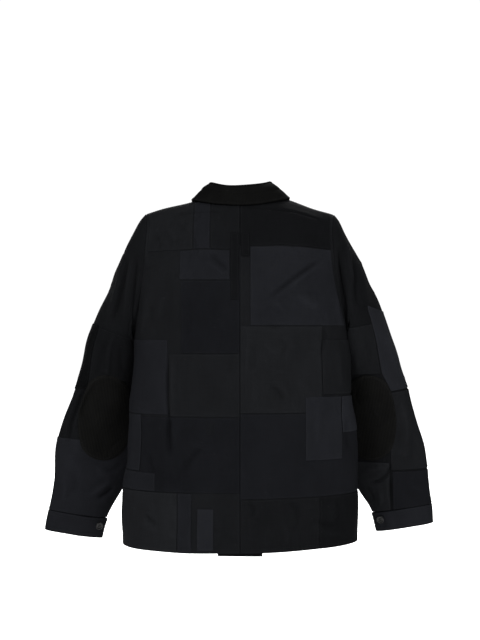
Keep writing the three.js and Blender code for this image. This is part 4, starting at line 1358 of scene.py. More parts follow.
def sleeve_form(side):
    def station(v):
        return mix(SLEEVE_END, SLEEVE_START, v)

    form = make_form(
        lambda u, v: sleeve_point(side, station(v), 2 * math.pi * u),
        sleeve_creases(side, lambda u, v: 2 * math.pi * u),
        tube=True,
    )
    form["station"] = station
    return facing(form, sleeve_middle(side), (0.25, 0.5))


# %% Sleeve patches between lines
STATIONS = np.linspace(0, LAST_STATION, 481)
ANGLES = np.linspace(-math.pi, math.pi, 361)
# side, upper line, lower line, side line (x, z on the wearer's left), how it wraps, tone, lean, threads, slub
SLEEVE_PATCHES = {
    "patch_strip_sleeve_left": (
        1, [(287, -262), (340, -250)], [(318, -392), (395, -395)], [(318, -392), (287, -262)],
        "outer", 0.36, GREY_LEAN, 1200, 0.3,
    ),
    "patch_upper_sleeve_left": (
        1, [(229, -286), (255, -276), (284, -266)], [(229, -374), (296, -374), (309, -366)],
        [(309, -366), (284, -266)], "inside", 0.7, GREY_LEAN, 1200, 0.3,
    ),
    "patch_forearm_left": (
        1, [(180, -506), (430, -492)], [(230, -690), (440, -660)], None, "round", 1.35, NAVY_LEAN, 1100, 0.3,
    ),
    "patch_strip_sleeve_right": (
        -1, [(256, -221), (330, -246)], [(311, -396), (380, -386)],
        [(311, -396), (290, -359), (270, -277), (256, -221)], "outer", 1.8, NAVY_LEAN, 1200, 0.3,
    ),
    "patch_upper_sleeve_right": (
        -1, [(229, -264), (265, -258)], [(229, -362), (287, -358)],
        [(287, -358), (268, -277), (265, -258)], "inside", 1.05, GREY_LEAN, 1200, 0.3,
    ),
    "patch_elbow_side_right": (
        -1, [(309, -400), (385, -390)], [(316, -564), (430, -556)], [(316, -564), (309, -400)],
        "outer", 1.15, GREY_LEAN, 1100, 0.3,
    ),
    "patch_wrist_outer_right": (
        -1, [(319, -568), (430, -560)], [(322, -680), (430, -660)], [(322, -680), (319, -568)],
        "outer", 0.96, NAVY_LEAN, 1300, 0.2,
    ),
    "patch_wrist_inner_right": (
        -1, [(190, -545), (312, -549)], [(240, -690), (316, -680)], [(317, -680), (312, -549)],
        "inner", 1.42, GREY_LEAN, 1100, 0.4,
    ),
}


def on_line(line, value, axis):
    """The other coordinate of a line of (x, z) corners, where one coordinate has a value."""
    line = sorted(line, key=lambda corner: corner[axis])
    return np.interp(value, [corner[axis] for corner in line], [corner[1 - axis] for corner in line])


def sleeve_bounds(side, upper, lower, sideline, wrap):
    """Functions for a patch's upper and lower station at an angle, and its two end angles at a station."""
    station, angle = np.meshgrid(STATIONS, ANGLES, indexing="ij")
    points = sleeve_point(side, station, angle)
    x, z = points[..., 0] * side, points[..., 2]

    def stations_where(line):
        below = on_line(line, x, 0) - z
        found = [np.interp(0, np.maximum.accumulate(below[:, k]), STATIONS) for k in range(len(ANGLES))]
        return np.array(found)

    top, bottom = stations_where(upper), np.minimum(stations_where(lower), CUFF_SEAM - 0.02)
    half = len(ANGLES) // 2
    if wrap == "round":
        back = front = np.zeros(len(STATIONS))
    else:
        past = on_line(sideline, z, 1) - x
        back = np.array([np.interp(0, np.maximum.accumulate(row[half:]), ANGLES[half:]) for row in past])
        front = -np.array([np.interp(0, np.maximum.accumulate(row[half::-1]), ANGLES[half:]) for row in past])
    ends = {
        "outer": (front, back),
        "inner": (back, 2 * math.pi + front),
        "inside": (back, np.full(len(STATIONS), math.pi - 0.06)),
        "round": (back, back + 2 * math.pi),
    }[wrap]
    return top, bottom, ends


def sleeve_patch_form(side, upper, lower, sideline, wrap):
    top, bottom, (first, last) = sleeve_bounds(side, upper, lower, sideline, wrap)

    def wrapped(angle):
        return (angle + math.pi) % (2 * math.pi) - math.pi

    def chart(u, v):
        """The station and angle of a place on the patch, found in a few rounds."""
        u, v = np.broadcast_arrays(u, v)
        station = np.full(u.shape, float(np.mean(top + bottom) / 2))
        for _ in range(7):
            angle = mix(np.interp(station, STATIONS, first), np.interp(station, STATIONS, last), u)
            high = np.interp(wrapped(angle), ANGLES, top)
            low = np.interp(wrapped(angle), ANGLES, bottom)
            station = mix(low, high, v)
        return station, angle

    def place(u, v):
        return sleeve_point(side, *chart(u, v))

    def margin(station, angle):
        """Rough distance in from the patch's edges, in millimetres."""
        near = np.interp(station, STATIONS, first)
        turn = near + (angle - near) % (2 * math.pi)
        high = np.interp(wrapped(turn), ANGLES, top)
        low = np.interp(wrapped(turn), ANGLES, bottom)
        ends = np.minimum(turn - near, np.interp(station, STATIONS, last) - turn) * MEAN_RADIUS
        if wrap == "round":
            ends = 0 * ends + 99
        return np.minimum(np.minimum(station - high, low - station) * STATION_LENGTH, ends)

    form = make_form(place, sleeve_creases(side, lambda u, v: chart(u, v)[1]), tube=wrap == "round")
    form["margin"] = margin
    form["chart"] = chart
    return form


def toward_outside(form, side):
    """Checks a sleeve patch's normals against the line through the sleeve's middle."""
    u, v = np.array([0.5]), np.array([0.5])
    station, angle = form["chart"](u, v)
    middle = (sleeve_point(side, station, angle) + sleeve_point(side, station, angle + math.pi)) / 2
    outward = (form["place"](u, v) - middle) * normals_of(form, u, v)
    form["turn"] = -1 if outward.sum() < 0 else 1
    return form


# %% [markdown]
# The elbow patches are ovals of ribbed corduroy. A square grid is bent into an ellipse, which keeps its
# lines close to upright, and each point is then carried onto the sleeve by a few rounds of Newton's method.

# %% Elbow ovals
ELBOW = {"across": 54, "along": 91, "z": -453, "lean": 0.12, 1: 280, -1: 269}
SQUARENESS = 0.43  # 0.5 makes an exact ellipse, and less fills the corners
RIB_STEP = 3.0  # from one cord to the next
RIB_HEIGHT = 0.22


CORD_ROUND = 0.7  # less than 1 makes a cord fuller than a sine wave


def cords(u, width):
    """How high the cords stand, from 0 to 1, at a share of a width in millimetres."""
    return np.abs(np.sin(math.pi * u * width / RIB_STEP))


def add_ribbed(name, form, points, normals, base, uv, walls, rib, material, nodes):
    """Adds a corduroy piece, whose cords are part of its shape."""
    high, low, edge = walls
    mesh = wall_mesh(
        name,
        points + normals * (base + high)[..., None],
        points + normals * (base + low)[..., None],
        uv * MM,
        {"edge": edge, "crest_wear_and_shade": rib},
        False,
        form["turn"],
    )
    return add_piece(name, mesh, material, nodes)


FIRST_STATION, FIRST_Z, STATION_DROP = 8, -456, 68.0  # a first guess of the station at a height by the elbow
FIRST_X, FIRST_HALF = 285, 80  # and of the angle, from the sleeve's middle and half width there


def oval_form(side):
    across, length, lean = ELBOW["across"], ELBOW["along"], ELBOW["lean"]
    middle_x, middle_z = ELBOW[side], ELBOW["z"]

    def disc(u, v):
        a, b = 2 * u - 1, 2 * v - 1
        return a * np.sqrt(1 - SQUARENESS * b * b), b * np.sqrt(1 - SQUARENESS * a * a)

    def target(u, v):
        a, b = disc(u, v)
        x = middle_x + across * a * math.cos(lean) - length * b * math.sin(lean)
        return x, middle_z + across * a * math.sin(lean) + length * b * math.cos(lean)

    def chart(u, v):
        u, v = np.broadcast_arrays(u, v)
        x, z = target(u, v)
        station = FIRST_STATION + (FIRST_Z - z) / STATION_DROP
        angle = np.arccos(np.clip((x - FIRST_X) / FIRST_HALF, -0.95, 0.95))
        step = 1e-3
        for _ in range(6):
            here = sleeve_point(side, station, angle)
            by_station = (sleeve_point(side, station + step, angle) - here) / step
            by_angle = (sleeve_point(side, station, angle + step) - here) / step
            miss_x, miss_z = x - here[..., 0] * side, z - here[..., 2]
            sx, sz = by_station[..., 0] * side, by_station[..., 2]
            ax, az = by_angle[..., 0] * side, by_angle[..., 2]
            scale = sx * az - sz * ax
            scale = np.where(np.abs(scale) < 1, 1, scale)
            station = station + np.clip((miss_x * az - miss_z * ax) / scale, -1, 1)
            angle = angle + np.clip((miss_z * sx - miss_x * sz) / scale, -0.3, 0.3)
        return station, angle

    def margin(station, angle):
        points = sleeve_point(side, station, angle)
        x, z = points[..., 0] * side - middle_x, points[..., 2] - middle_z
        a = (x * math.cos(lean) + z * math.sin(lean)) / across
        b = (z * math.cos(lean) - x * math.sin(lean)) / length
        behind = np.sin(angle) > 0
        return np.where(behind, (1 - np.sqrt(a * a + b * b)) * across, -99)

    def heights(u, v):
        a, b = disc(u, v)
        distance = (1 - np.clip(np.sqrt(a * a + b * b), 0, 1)) * (across + length) / 2
        rounded = rounding(distance)
        ribs = cords(a, across) ** CORD_ROUND * RIB_HEIGHT
        band = TURN_RISE * (1 - smooth((distance - 6) / 2))
        outer = LAYER_TWO + PATCH * (0.15 + 0.85 * rounded) + (ribs + band) * rounded
        return outer, LAYER_TWO - 0.15 * (1 - rounded), np.exp(-distance / 2.2)

    form = make_form(
        lambda u, v: sleeve_point(side, *chart(u, v)), sleeve_creases(side, lambda u, v: chart(u, v)[1])
    )
    form.update(chart=chart, margin=margin, heights=heights, disc=disc)
    return toward_outside(form, side)


def sunk_under(forms, depth, angle_and_station):
    """Sinks cloth on a sleeve under the patches in a list."""

    def sink(points, u, v):
        station, angle = angle_and_station(u, v)
        total = np.zeros(np.shape(station))
        for form in forms:
            total = np.maximum(total, smooth((form["margin"](station, angle) - 1.5) / 3))
        return depth * total

    return sink


# %% Corduroy
corduroy_pile_and_rib_shade, start, end = new_group(
    "corduroy_pile_and_rib_shade",
    [("Color", COLOUR, None), ("Rib", NUMBER, 0.0), ("Edge", NUMBER, 0.0)],
    [("Color", COLOUR), ("Height", NUMBER)],
)
place = object_place(corduroy_pile_and_rib_shade)
pile = noise(corduroy_pile_and_rib_shade, place, 1400, 2)
brushed = noise(corduroy_pile_and_rib_shade, place, 60, 4, (1, 1, 0.3))
# Painted shade: the tops of the cords are painted paler and the grooves between them darker.
shade = calculate(corduroy_pile_and_rib_shade, "MULTIPLY", start.outputs["Rib"], 0.45)
shade = calculate(corduroy_pile_and_rib_shade, "ADD", shade, calculate(corduroy_pile_and_rib_shade, "MULTIPLY", brushed, 0.5))
shade = calculate(corduroy_pile_and_rib_shade, "ADD", shade, 0.5)
paler_edge = calculate(corduroy_pile_and_rib_shade, "MULTIPLY", start.outputs["Edge"], 0.2)
shade = calculate(corduroy_pile_and_rib_shade, "ADD", shade, paler_edge)
corduroy_pile_and_rib_shade.links.new(times_colour(corduroy_pile_and_rib_shade, start.outputs["Color"], shade), end.inputs["Color"])
corduroy_pile_and_rib_shade.links.new(pile, end.inputs["Height"])

COLLAR_COLOUR = (0.0038, 0.0038, 0.0037, 1)
OVAL_COLOUR = (0.0053, 0.0053, 0.0051, 1)
PILE_DEPTH = 0.0002  # metres


def corduroy_material(name, colour):
    """Corduroy: soft, with almost no gloss, and painted paler on its ribs and darker between them, as painted
    shade.
    """
    made, tree, shader = shader_material(name)
    pile_node = place_group(
        tree, corduroy_pile_and_rib_shade, Color=colour, Rib=mark(tree, "crest_wear_and_shade"), Edge=mark(tree, "edge")
    )
    specks = place_group(tree, lint, Color=pile_node.outputs["Color"], Amount=0.012)
    tree.links.new(specks.outputs["Color"], shader.inputs["Base Color"])
    shader.inputs["Roughness"].default_value = 0.95
    shader.inputs["Specular IOR Level"].default_value = 0.012
    add_bump(tree, shader, pile_node.outputs["Height"], PILE_DEPTH, 0.7)
    return made


oval_corduroy = corduroy_material("oval_corduroy", OVAL_COLOUR)
collar_corduroy = corduroy_material("collar_corduroy", COLLAR_COLOUR)

# %% Sewing the sleeves, their patches and the ovals
SLEEVE_SPACING = 5
ROOT_DEPTH = 1.8  # how deep the sleeve's hidden ends lie


def sleeve_heights(form):
    """The sleeve's walls: a plain cloth, let in where the armhole and the cuff hide its ends."""

    def heights(u, v):
        station = form["station"](v)
        hidden = np.maximum(smooth((0.05 - station) / 0.2), smooth((station - CUFF_SEAM + 0.03) / 0.05))
        step = 0 * u - hidden * ROOT_DEPTH
        return step + CLOTH, step, 0 * step

    return heights


for side, name in ((1, "left"), (-1, "right")):
    oval = oval_form(side)
    patches = {}
    for patch, (hand, upper, lower, sideline, wrap, *_) in SLEEVE_PATCHES.items():
        if hand == side:
            patches[patch] = toward_outside(sleeve_patch_form(side, upper, lower, sideline, wrap), side)
    form = sleeve_form(side)
    form["heights"] = sleeve_heights(form)
    on_sleeve = sunk_under(
        [oval, *patches.values()], UNDER_ONE, lambda u, v, f=form: (f["station"](v), 2 * math.pi * u)
    )
    sew_cloth(
        f"cloth_sleeve_{name}", form, sleeve_cotton, [f"sleeve_{name}"], SLEEVE_SPACING, on_sleeve,
    )
    for patch, sewn_form in patches.items():
        tone, lean, threads, slub = SLEEVE_PATCHES[patch][5:]
        width, length, _ = size_of(sewn_form)
        sewn_form["heights"] = lambda u, v, s=(width, length), t=sewn_form["tube"]: cloth_heights(
            u, v, s, LAYER_ONE, PATCH, t
        )
        cotton = cloth_material(f"{patch}_cotton", dark_colour(tone, lean), threads, 0.0, slub)
        sink = sunk_under([oval], UNDER_TWO, sewn_form["chart"])
        sew_cloth(
            f"cloth_{patch}", sewn_form, cotton, [patch], PATCH_SPACING, sink,
        )
        stitch_border(f"sleeve_{name}", sewn_form)

    # The oval's columns are close enough to round each cord of the corduroy.
    across = np.linspace(0, 1, int(2 * ELBOW["across"] / RIB_STEP) * 4 + 1)
    border = np.array([0, 0.002, 0.006, 0.012, 0.025])
    upward = np.concatenate([border, np.linspace(0.04, 0.96, 44), 1 - border[::-1]])
    u, v = np.meshgrid(across, upward)
    points, normals = oval["place"](u, v), normals_of(oval, u, v)
    base = bent(oval, points, u, v)
    a, _ = oval["disc"](u, v)
    uv = np.stack([u * 2 * ELBOW["across"], v * 2 * ELBOW["along"]], -1)
    # The cords' height also goes in as a mark from which the corduroy finish paints painted shade: paler cord
    # tops, darker grooves.
    piece = add_ribbed(
        f"elbow_oval_{name}", oval, points, normals, base, uv, oval["heights"](u, v),
        2 * cords(a, ELBOW["across"]) - 1, oval_corduroy, [f"elbow_patch_{name}"],
    )
    oval_width, oval_length, oval_area = size_of(oval)
    print(f"elbow_oval_{name} is cut {oval_width:.0f} by {oval_length:.0f} mm")
    turns = np.linspace(0, 2 * math.pi, 240)
    ring_a, ring_b = 0.955 * np.cos(turns), 0.955 * np.sin(turns)
    # The square-to-disc map, turned round.
    s, t = ring_a**2 - ring_b**2, 2 * math.sqrt(2)
    square_u = 0.5 * (np.sqrt(np.maximum(2 + s + t * ring_a, 0)) - np.sqrt(np.maximum(2 + s - t * ring_a, 0)))
    square_v = 0.5 * (np.sqrt(np.maximum(2 - s + t * ring_b, 0)) - np.sqrt(np.maximum(2 - s - t * ring_b, 0)))
    stitch_along(f"sleeve_{name}", oval, (square_u + 1) / 2, (square_v + 1) / 2)
print("sleeve patches:", len(SLEEVE_PATCHES))

# %% [markdown]
# ## Cuffs
#
# A cuff is a doubled band wound once round the wrist, with its outer end lying over its inner end and a
# button through both. It is stiffer than the sleeve, so its edges are crisp and stitched close by.

# %% Cuffs
CUFF_WALL = 2.2
CUFF_START = 2 * math.pi * 4 / 14  # angle of the band's hidden inner end
CUFF_FINISH = 2 * math.pi * 21 / 14  # and of its outer end
CUFF_LIFT = 2.5
CUFF_EDGE = LAST_STATION
CUFF_SEAT = 1.2  # how far the top edge's inner side reaches down to the sleeve that runs in under it
SEAT_BAND = 5
LAP_TURN = 0.6  # the outer end rises over the inner one in this much of a turn, in radians
LAP_GAP = 0.1
CUFF_TONES = {1: 1.28, -1: 1.42}


def cuff_form(side):
    """A cuff: one band, wound round the sleeve's end, with its outer end over its inner one."""
    def spot(u, v):
        return mix(CUFF_EDGE, CUFF_SEAM + 0.01, v), mix(CUFF_START, CUFF_FINISH, u)

    def place(u, v):
        station, angle = spot(u, v)
        return sleeve_point(side, station, angle)

    form = make_form(place, sleeve_creases(side, lambda u, v: spot(u, v)[1]))
    form["chart"] = spot
    toward_outside(form, side)
    width, length, _ = size_of(form)

    def heights(u, v):
        angle = spot(u, v)[1]
        outer, inner, edge = cloth_heights(u, v, (width, length), 0, CUFF_WALL, bands=(0, 0))
        over = angle - 2 * math.pi - CUFF_START
        lap = CUFF_LIFT * smooth((over + LAP_TURN) / LAP_TURN)
        seat = (CUFF_SEAT + lap) * (over < 0) + (CUFF_LIFT - CUFF_WALL - LAP_GAP) * (over >= 0)
        seated = smooth((v * length - length + SEAT_BAND) / 2)
        return outer + lap, inner + lap - seat * seated, edge

    form["heights"] = heights
    return form


cuff_forms = {}
for side, name in ((1, "left"), (-1, "right")):
    colour = dark_colour(CUFF_TONES[side], NAVY_LEAN)
    cotton = cloth_material(f"cuff_{name}_cotton", colour, 1200, 0.0, 0.25)
    form = cuff_form(side)
    sew_cloth(
        f"cloth_cuff_{name}", form, cotton, [f"cuff_{name}"], 3.6, None,
    )
    stitch_border(f"sleeve_{name}", form, inset=2.4)
    stitch_border(f"sleeve_{name}", form, inset=6.5)
    cuff_forms[side] = form

# %% [markdown]
# ## Collar
#
# The collar has two parts: a stand that rises from the neck seam, and a leaf that folds over it and falls
# outside. Both are corduroy, with cords that run from the neck to the edge. The leaf's grid goes on past the
# fold, over the stand and down inside, so the fold is a round roll and not a sharp edge.

# %% Collar forms
STAND_HEIGHT = 29
STAND_WALL = 1.6
LEAF_WALL = 2.0
COLLAR_END = math.pi * 0.994
COLLAR_SPREAD = 101
COLLAR_BACK_Z = -24
POINT_X, POINT_Z = 52, -112
COLLAR_BULGE = 8
FOLD_X, FOLD_BACK, FOLD_FRONT = 0.78, 0.88, 0.97
FOOT_BACK, FOOT_FRONT = 2.4, 4.6
LEAF_LIFT = 4.6
ROLL_RADIUS = 1.6
ROLL_DOWN = 9
ROLL_SHARE = 0.72  # share of the leaf's rows that lie outside; the rest go over the fold


def neck_seam(angle):
    x = NECK_X * np.abs(np.sin(angle))
    face = np.where(np.cos(angle) > 0, 1, -1)
    point = body_point(face, x, top_edge(face, x))
    point[..., 0] *= np.sign(np.sin(angle))
    return point


def collar_fold(angle):
    point = neck_seam(angle)
    in_y = mix(FOLD_FRONT, FOLD_BACK, (1 + np.cos(angle)) / 2)
    return np.stack([point[..., 0] * FOLD_X, point[..., 1] * in_y, point[..., 2] + STAND_HEIGHT], -1)


def outward(angle):
    return np.stack([np.sin(angle), np.cos(angle), 0 * angle], -1)


def leaf_edge(angle):
    """The leaf's lower edge: level round the back, then down over the chest to the leaf's corner."""
    shoulder_z = float(ridge(np.array(COLLAR_SPREAD)))
    turn = np.abs(np.sin(angle))
    t = np.clip((np.abs(angle) - math.pi / 2) / (math.pi / 2), 0, 1)
    behind = np.cos(angle) >= 0
    front_x = mix(COLLAR_SPREAD, POINT_X, t) + COLLAR_BULGE * np.sin(math.pi * t)
    x = np.where(behind, COLLAR_SPREAD * turn, front_x)
    z = np.where(behind, mix(COLLAR_BACK_Z, shoulder_z, turn**2), mix(shoulder_z, POINT_Z, t))
    return x, z, np.where(behind, 1, -1)


def leaf_point(angle, share):
    x, z, face = leaf_edge(angle)
    sine, cosine = np.sin(angle), np.cos(angle)
    low = body_point(face, x, z)
    low[..., 0] *= np.where(sine < 0, -1, 1)
    low[..., 1] += LEAF_LIFT * cosine
    low[..., 2] += LEAF_LIFT * (0.4 + 0.6 * np.abs(sine))
    top = collar_fold(angle) + outward(angle) * (STAND_WALL / 2 + ROLL_RADIUS)
    point = mix(low, top, share[..., None])
    under = np.minimum(point[..., 2], top_edge(face, np.abs(point[..., 0])))
    body = body_point(face, np.abs(point[..., 0]), under)
    reach = np.maximum(np.abs(point[..., 1]), np.abs(body[..., 1]) + LEAF_LIFT * np.abs(cosine))
    held = smooth(share / 0.1) * smooth((1 - share) / 0.35)
    point[..., 1] = mix(point[..., 1], reach * face, held)
    return point + outward(angle) * (2.2 * np.sin(math.pi * share) * smooth(share / 0.5))[..., None]


def collar_angle(u):
    return COLLAR_END * (2 * u - 1)


def leaf_place(u, v):
    """v goes from the leaf's lower edge up to the fold, over it and down inside the stand."""
    u, v = np.broadcast_arrays(u, v)
    angle = collar_angle(u)
    outside = leaf_point(angle, np.clip(v / ROLL_SHARE, 0, 1))
    t = np.clip((v - ROLL_SHARE) / (1 - ROLL_SHARE), 0, 1)
    arc = smooth(t / 0.5) * math.pi
    down = np.clip((t - 0.5) / 0.5, 0, 1) * ROLL_DOWN
    centre = collar_fold(angle) + outward(angle) * STAND_WALL / 2
    rolled = centre + outward(angle) * (ROLL_RADIUS * np.cos(arc))[..., None]
    rolled[..., 2] += ROLL_RADIUS * np.sin(arc) - down
    return np.where((v > ROLL_SHARE)[..., None], rolled, outside)


def stand_place(u, v):
    angle = collar_angle(u)
    foot = neck_seam(angle)
    foot[..., 2] += mix(FOOT_BACK, FOOT_FRONT, smooth(-np.cos(angle)))
    return mix(foot, collar_fold(angle), v[..., None])


def flat_creases(points, u, v):
    return np.zeros(points.shape[:-1])


def ribbed_heights(size, wall, rib_height):
    """A doubled ribbed band: the cords run up the piece."""

    def heights(u, v):
        distance = np.minimum(np.minimum(u, 1 - u) * size[0], v * size[1])
        rounded = rounding(distance)
        ribs = cords(u, size[0]) ** CORD_ROUND * rib_height
        outer = wall * (0.15 + 0.85 * rounded) + ribs * rounded
        return outer, -0.1 * (1 - rounded), np.exp(-distance / 2.2)

    return heights


def sew_ribbed(name, form, nodes, wall, rib_height, rows):
    """A corduroy band with its cords as geometry."""
    width, length, area = size_of(form)
    form["heights"] = ribbed_heights((width, length), wall, rib_height)
    columns = int(width / RIB_STEP) * 3 + 1
    u, v = np.meshgrid(np.linspace(0, 1, columns), rows)
    points, normals = form["place"](u, v), normals_of(form, u, v)
    uv = np.stack([u * width, v * length], -1)
    # The cords' height also goes in as a mark from which the corduroy finish paints painted shade: paler cord
    # tops, darker grooves.
    piece = add_ribbed(
        name, form, points, normals, slow_waves(points), uv, form["heights"](u, v),
        2 * cords(u, width) - 1, collar_corduroy, nodes,
    )


leaf = facing(make_form(leaf_place, flat_creases), (0, 0, -40), (0.5, 0.35))
stand = facing(make_form(stand_place, flat_creases), (0, 0, 0), (0.5, 0.5))
leaf_rows = np.concatenate([[0, 0.008, 0.02, 0.04], np.linspace(0.08, ROLL_SHARE, 14)[:-1]])
past_roll = np.array([0, 0.08, 0.17, 0.25, 0.33, 0.42, 0.5, 0.65, 0.82, 1])
leaf_rows = np.concatenate([leaf_rows, ROLL_SHARE + (1 - ROLL_SHARE) * past_roll])
sew_ribbed("collar_leaf_cord", leaf, ["collar_leaf"], LEAF_WALL, 0.25, leaf_rows)
sew_ribbed(
    "collar_stand_cord", stand, ["collar_stand"], STAND_WALL, 0.1, np.linspace(0, 1, 9)
)
t = np.linspace(0.004, 0.996, 400)
stitch_along("collar", leaf, t, np.full(400, 0.05))
print("collar pieces sewn")

# %% [markdown]
# ## Small parts
#
# A strip of dark cloth is sewn inside the back hem and shows a little below it. Narrow tapes bind the seams
# inside, which also closes the thin slits between the panels. The buttons are turned discs with a raised
# rim and four drilled holes, and thread goes through the holes.

# %% Hem strip
STRIP_HALF = 44
STRIP_BELOW, STRIP_ABOVE = 6, 26
STRIP_FROM, STRIP_TO = -2.8, -1.6


def strip_place(u, v):
    x = mix(STRIP_HALF, -STRIP_HALF, u)
    z = mix(HEM_Z - STRIP_BELOW, HEM_Z + STRIP_ABOVE, v)
    point = body_point(1, np.abs(x), z)
    point[..., 0] = x
    point[..., 2] -= HEM_DIP
    return point


strip = facing(make_form(strip_place, flat_creases), (0, 0, -690))
strip_width, strip_length, _ = size_of(strip)
strip["heights"] = lambda u, v: cloth_heights(
    u, v, (strip_width, strip_length), STRIP_FROM, STRIP_TO - STRIP_FROM - TURN_RISE
)
strip_cotton = cloth_material("hem_strip_cotton", dark_colour(0.5), threads=1300)
sew_cloth(
    "cloth_hem_strip", strip, strip_cotton, ["hem_strip"], 3, None
)
stitch_border("hem", strip)

# %% Seam tapes
TAPE_HALF = 7
TAPE_FROM, TAPE_TO = -1.5, -0.7  # under the panels
TAPE_HEM = 1.5  # a side tape ends this far above the hem
NECK_TAPE_DOWN = 8
NECK_TAPE_LEAN = 0.12
NECK_TAPE_UP = 0.3  # share of the stand that the neck tape covers


def centre_tape(u, v):
    x = mix(TAPE_HALF, -TAPE_HALF, u)
    level = level_at(mix(length_down(HEM_Z + 12), length_down(TIP_Z), v))
    height = row_height(1, np.abs(x), level)
    point = body_point(1, np.abs(x), height)
    point[..., 0] = x
    point[..., 2] = height - row_drop(x, level)
    return point


def side_tape(side):
    def place(u, v):
        z = mix(HEM_Z + TAPE_HEM, UNDERARM_Z - 4, v)
        y = mix(-TAPE_HALF, TAPE_HALF, u)
        flare = HEM_FLARE * smooth((FLARE_FROM_Z - z) / (FLARE_FROM_Z - HEM_Z))
        share = np.abs(y) / (np.where(y > 0, BACK_DEPTH, FRONT_DEPTH) + flare)
        x = half_width(z) * (1 - share**ROUNDNESS) ** (1 / ROUNDNESS)
        return np.stack([side * x - side_pull(side * x, z), y, z - row_drop(side * x, z)], -1)

    return place


def shoulder_tape(side):
    def place(u, v):
        x = mix(NECK_X + 1, TIP_X - 4, u)
        y = mix(-TAPE_HALF, TAPE_HALF, v)
        deep = np.where(y > 0, BACK_DEPTH, FRONT_DEPTH)
        flat = (1 - (x / half_width(ridge(x))) ** ROUNDNESS) ** (1 / ROUNDNESS)
        fall = 1 - np.sqrt(1 - (y / (deep * flat)) ** 2)
        z = ridge(x) - fall * np.where(y > 0, BACK_ROLL, FRONT_ROLL)
        return np.stack([side * x, y, z], -1)

    return place


def neck_tape(u, v):
    """The tape hangs a little way down inside the neck seam, and goes up inside the stand."""
    u, v = np.broadcast_arrays(u, v)
    angle = collar_angle(u)
    down = NECK_TAPE_DOWN * np.clip(1 - 2 * v, 0, 1)
    up = NECK_TAPE_UP * np.clip(2 * v - 1, 0, 1)
    seam = neck_seam(angle)
    point = mix(seam, collar_fold(angle), up[..., None]) - outward(angle) * (NECK_TAPE_LEAN * down)[..., None]
    point[..., 2] -= down
    return point


tape_cotton = cloth_material("tape_cotton", dark_colour(0.8), threads=900)
TAPES = {
    "tape_centre_back": (centre_tape, (0, 0, -350), 12),
    "tape_side_left": (side_tape(1), (0, 0, -480), 12),
    "tape_side_right": (side_tape(-1), (0, 0, -480), 12),
    "tape_neck": (neck_tape, (0, 0, -200), 6),
    "tape_shoulder_left": (shoulder_tape(1), (120, 0, -200), 8),
    "tape_shoulder_right": (shoulder_tape(-1), (-120, 0, -200), 8),
}
for name, (place, middle, spacing) in TAPES.items():
    tape = facing(make_form(place, lambda points, u, v: crease_sum(points, BACK_CREASES)), middle)
    tape["heights"] = lambda u, v: (0 * u + TAPE_TO, 0 * u + TAPE_FROM, 0 * u)
    if name != "tape_centre_back":
        tape["creases"] = flat_creases
    sew_cloth(name, tape, tape_cotton, [], spacing, None)

# %% Buttons
BUTTON_RADIUS = 8
BUTTON_DISH = 2.0  # height of the dished middle
HOLE_RADIUS = 0.95
HOLE_OFFSET = 1.75
FRONT_BUTTONS_Z = [-98, -216, -334, -452, -570]
CUFF_BUTTON_ANGLE = 2 * math.pi * 5.5 / 14 + 2 * math.pi
CUFF_BUTTON_STATION = 11.304
# Radius and height of the turned profile, from the middle of the underside to the middle of the dish
PROFILE = [
    (0, 0), (4, 0), (6.6, 0.05), (7.2, 0.3), (7.7, 0.9), (7.95, 1.6), (8, 2.2), (7.8, 2.8), (7.35, 3.12),
    (6.9, 3.2), (6.4, 3.1), (6.0, 2.8), (5.7, 2.4), (5.3, 2.12), (4.6, 2.03), (3.4, 2.0), (0, 2.0),
]


def turned_button():
    """A button's mesh, lying flat with its underside at height 0, in metres."""
    shape = bmesh.new()
    previous = None
    for radius, height in PROFILE:
        sides = 1 if radius == 0 else 48
        ring = [
            shape.verts.new((radius * math.cos(a) * MM, radius * math.sin(a) * MM, height * MM))
            for a in np.linspace(0, 2 * math.pi, sides, endpoint=False)
        ]
        if previous is not None:
            most = max(len(ring), len(previous))
            for k in range(most):
                corners = [previous[k % len(previous)], previous[(k + 1) % len(previous)]]
                corners += [ring[(k + 1) % len(ring)], ring[k % len(ring)]]
                shape.faces.new(list(dict.fromkeys(corners)))
        previous = ring
    bmesh.ops.recalc_face_normals(shape, faces=shape.faces)
    mesh = bpy.data.meshes.new("button_blank")
    shape.to_mesh(mesh)
    shape.free()
    blank = bpy.data.objects.new("button_blank", mesh)
    drill_shape = bmesh.new()
    for x in (-1, 1):
        for y in (-1, 1):
            place = Matrix.Translation((x * HOLE_OFFSET * MM, y * HOLE_OFFSET * MM, BUTTON_DISH / 2 * MM))
            bmesh.ops.create_cone(
                drill_shape, cap_ends=True, segments=20, radius1=HOLE_RADIUS * MM, radius2=HOLE_RADIUS * MM,
                depth=3 * BUTTON_DISH * MM, matrix=place,
            )
    drill_mesh = bpy.data.meshes.new("drill")
    drill_shape.to_mesh(drill_mesh)
    drill_shape.free()
    drill = bpy.data.objects.new("drill", drill_mesh)
    for thing in (blank, drill):
        scene.collection.objects.link(thing)
    cut = blank.modifiers.new("holes", "BOOLEAN")
    cut.object = drill
    cut.solver = "EXACT"
    made = bpy.data.meshes.new_from_object(blank.evaluated_get(bpy.context.evaluated_depsgraph_get()))
    for thing in (blank, drill):
        bpy.data.objects.remove(thing)
    made.shade_smooth()
    made.set_sharp_from_angle(angle=math.radians(45))
    return made


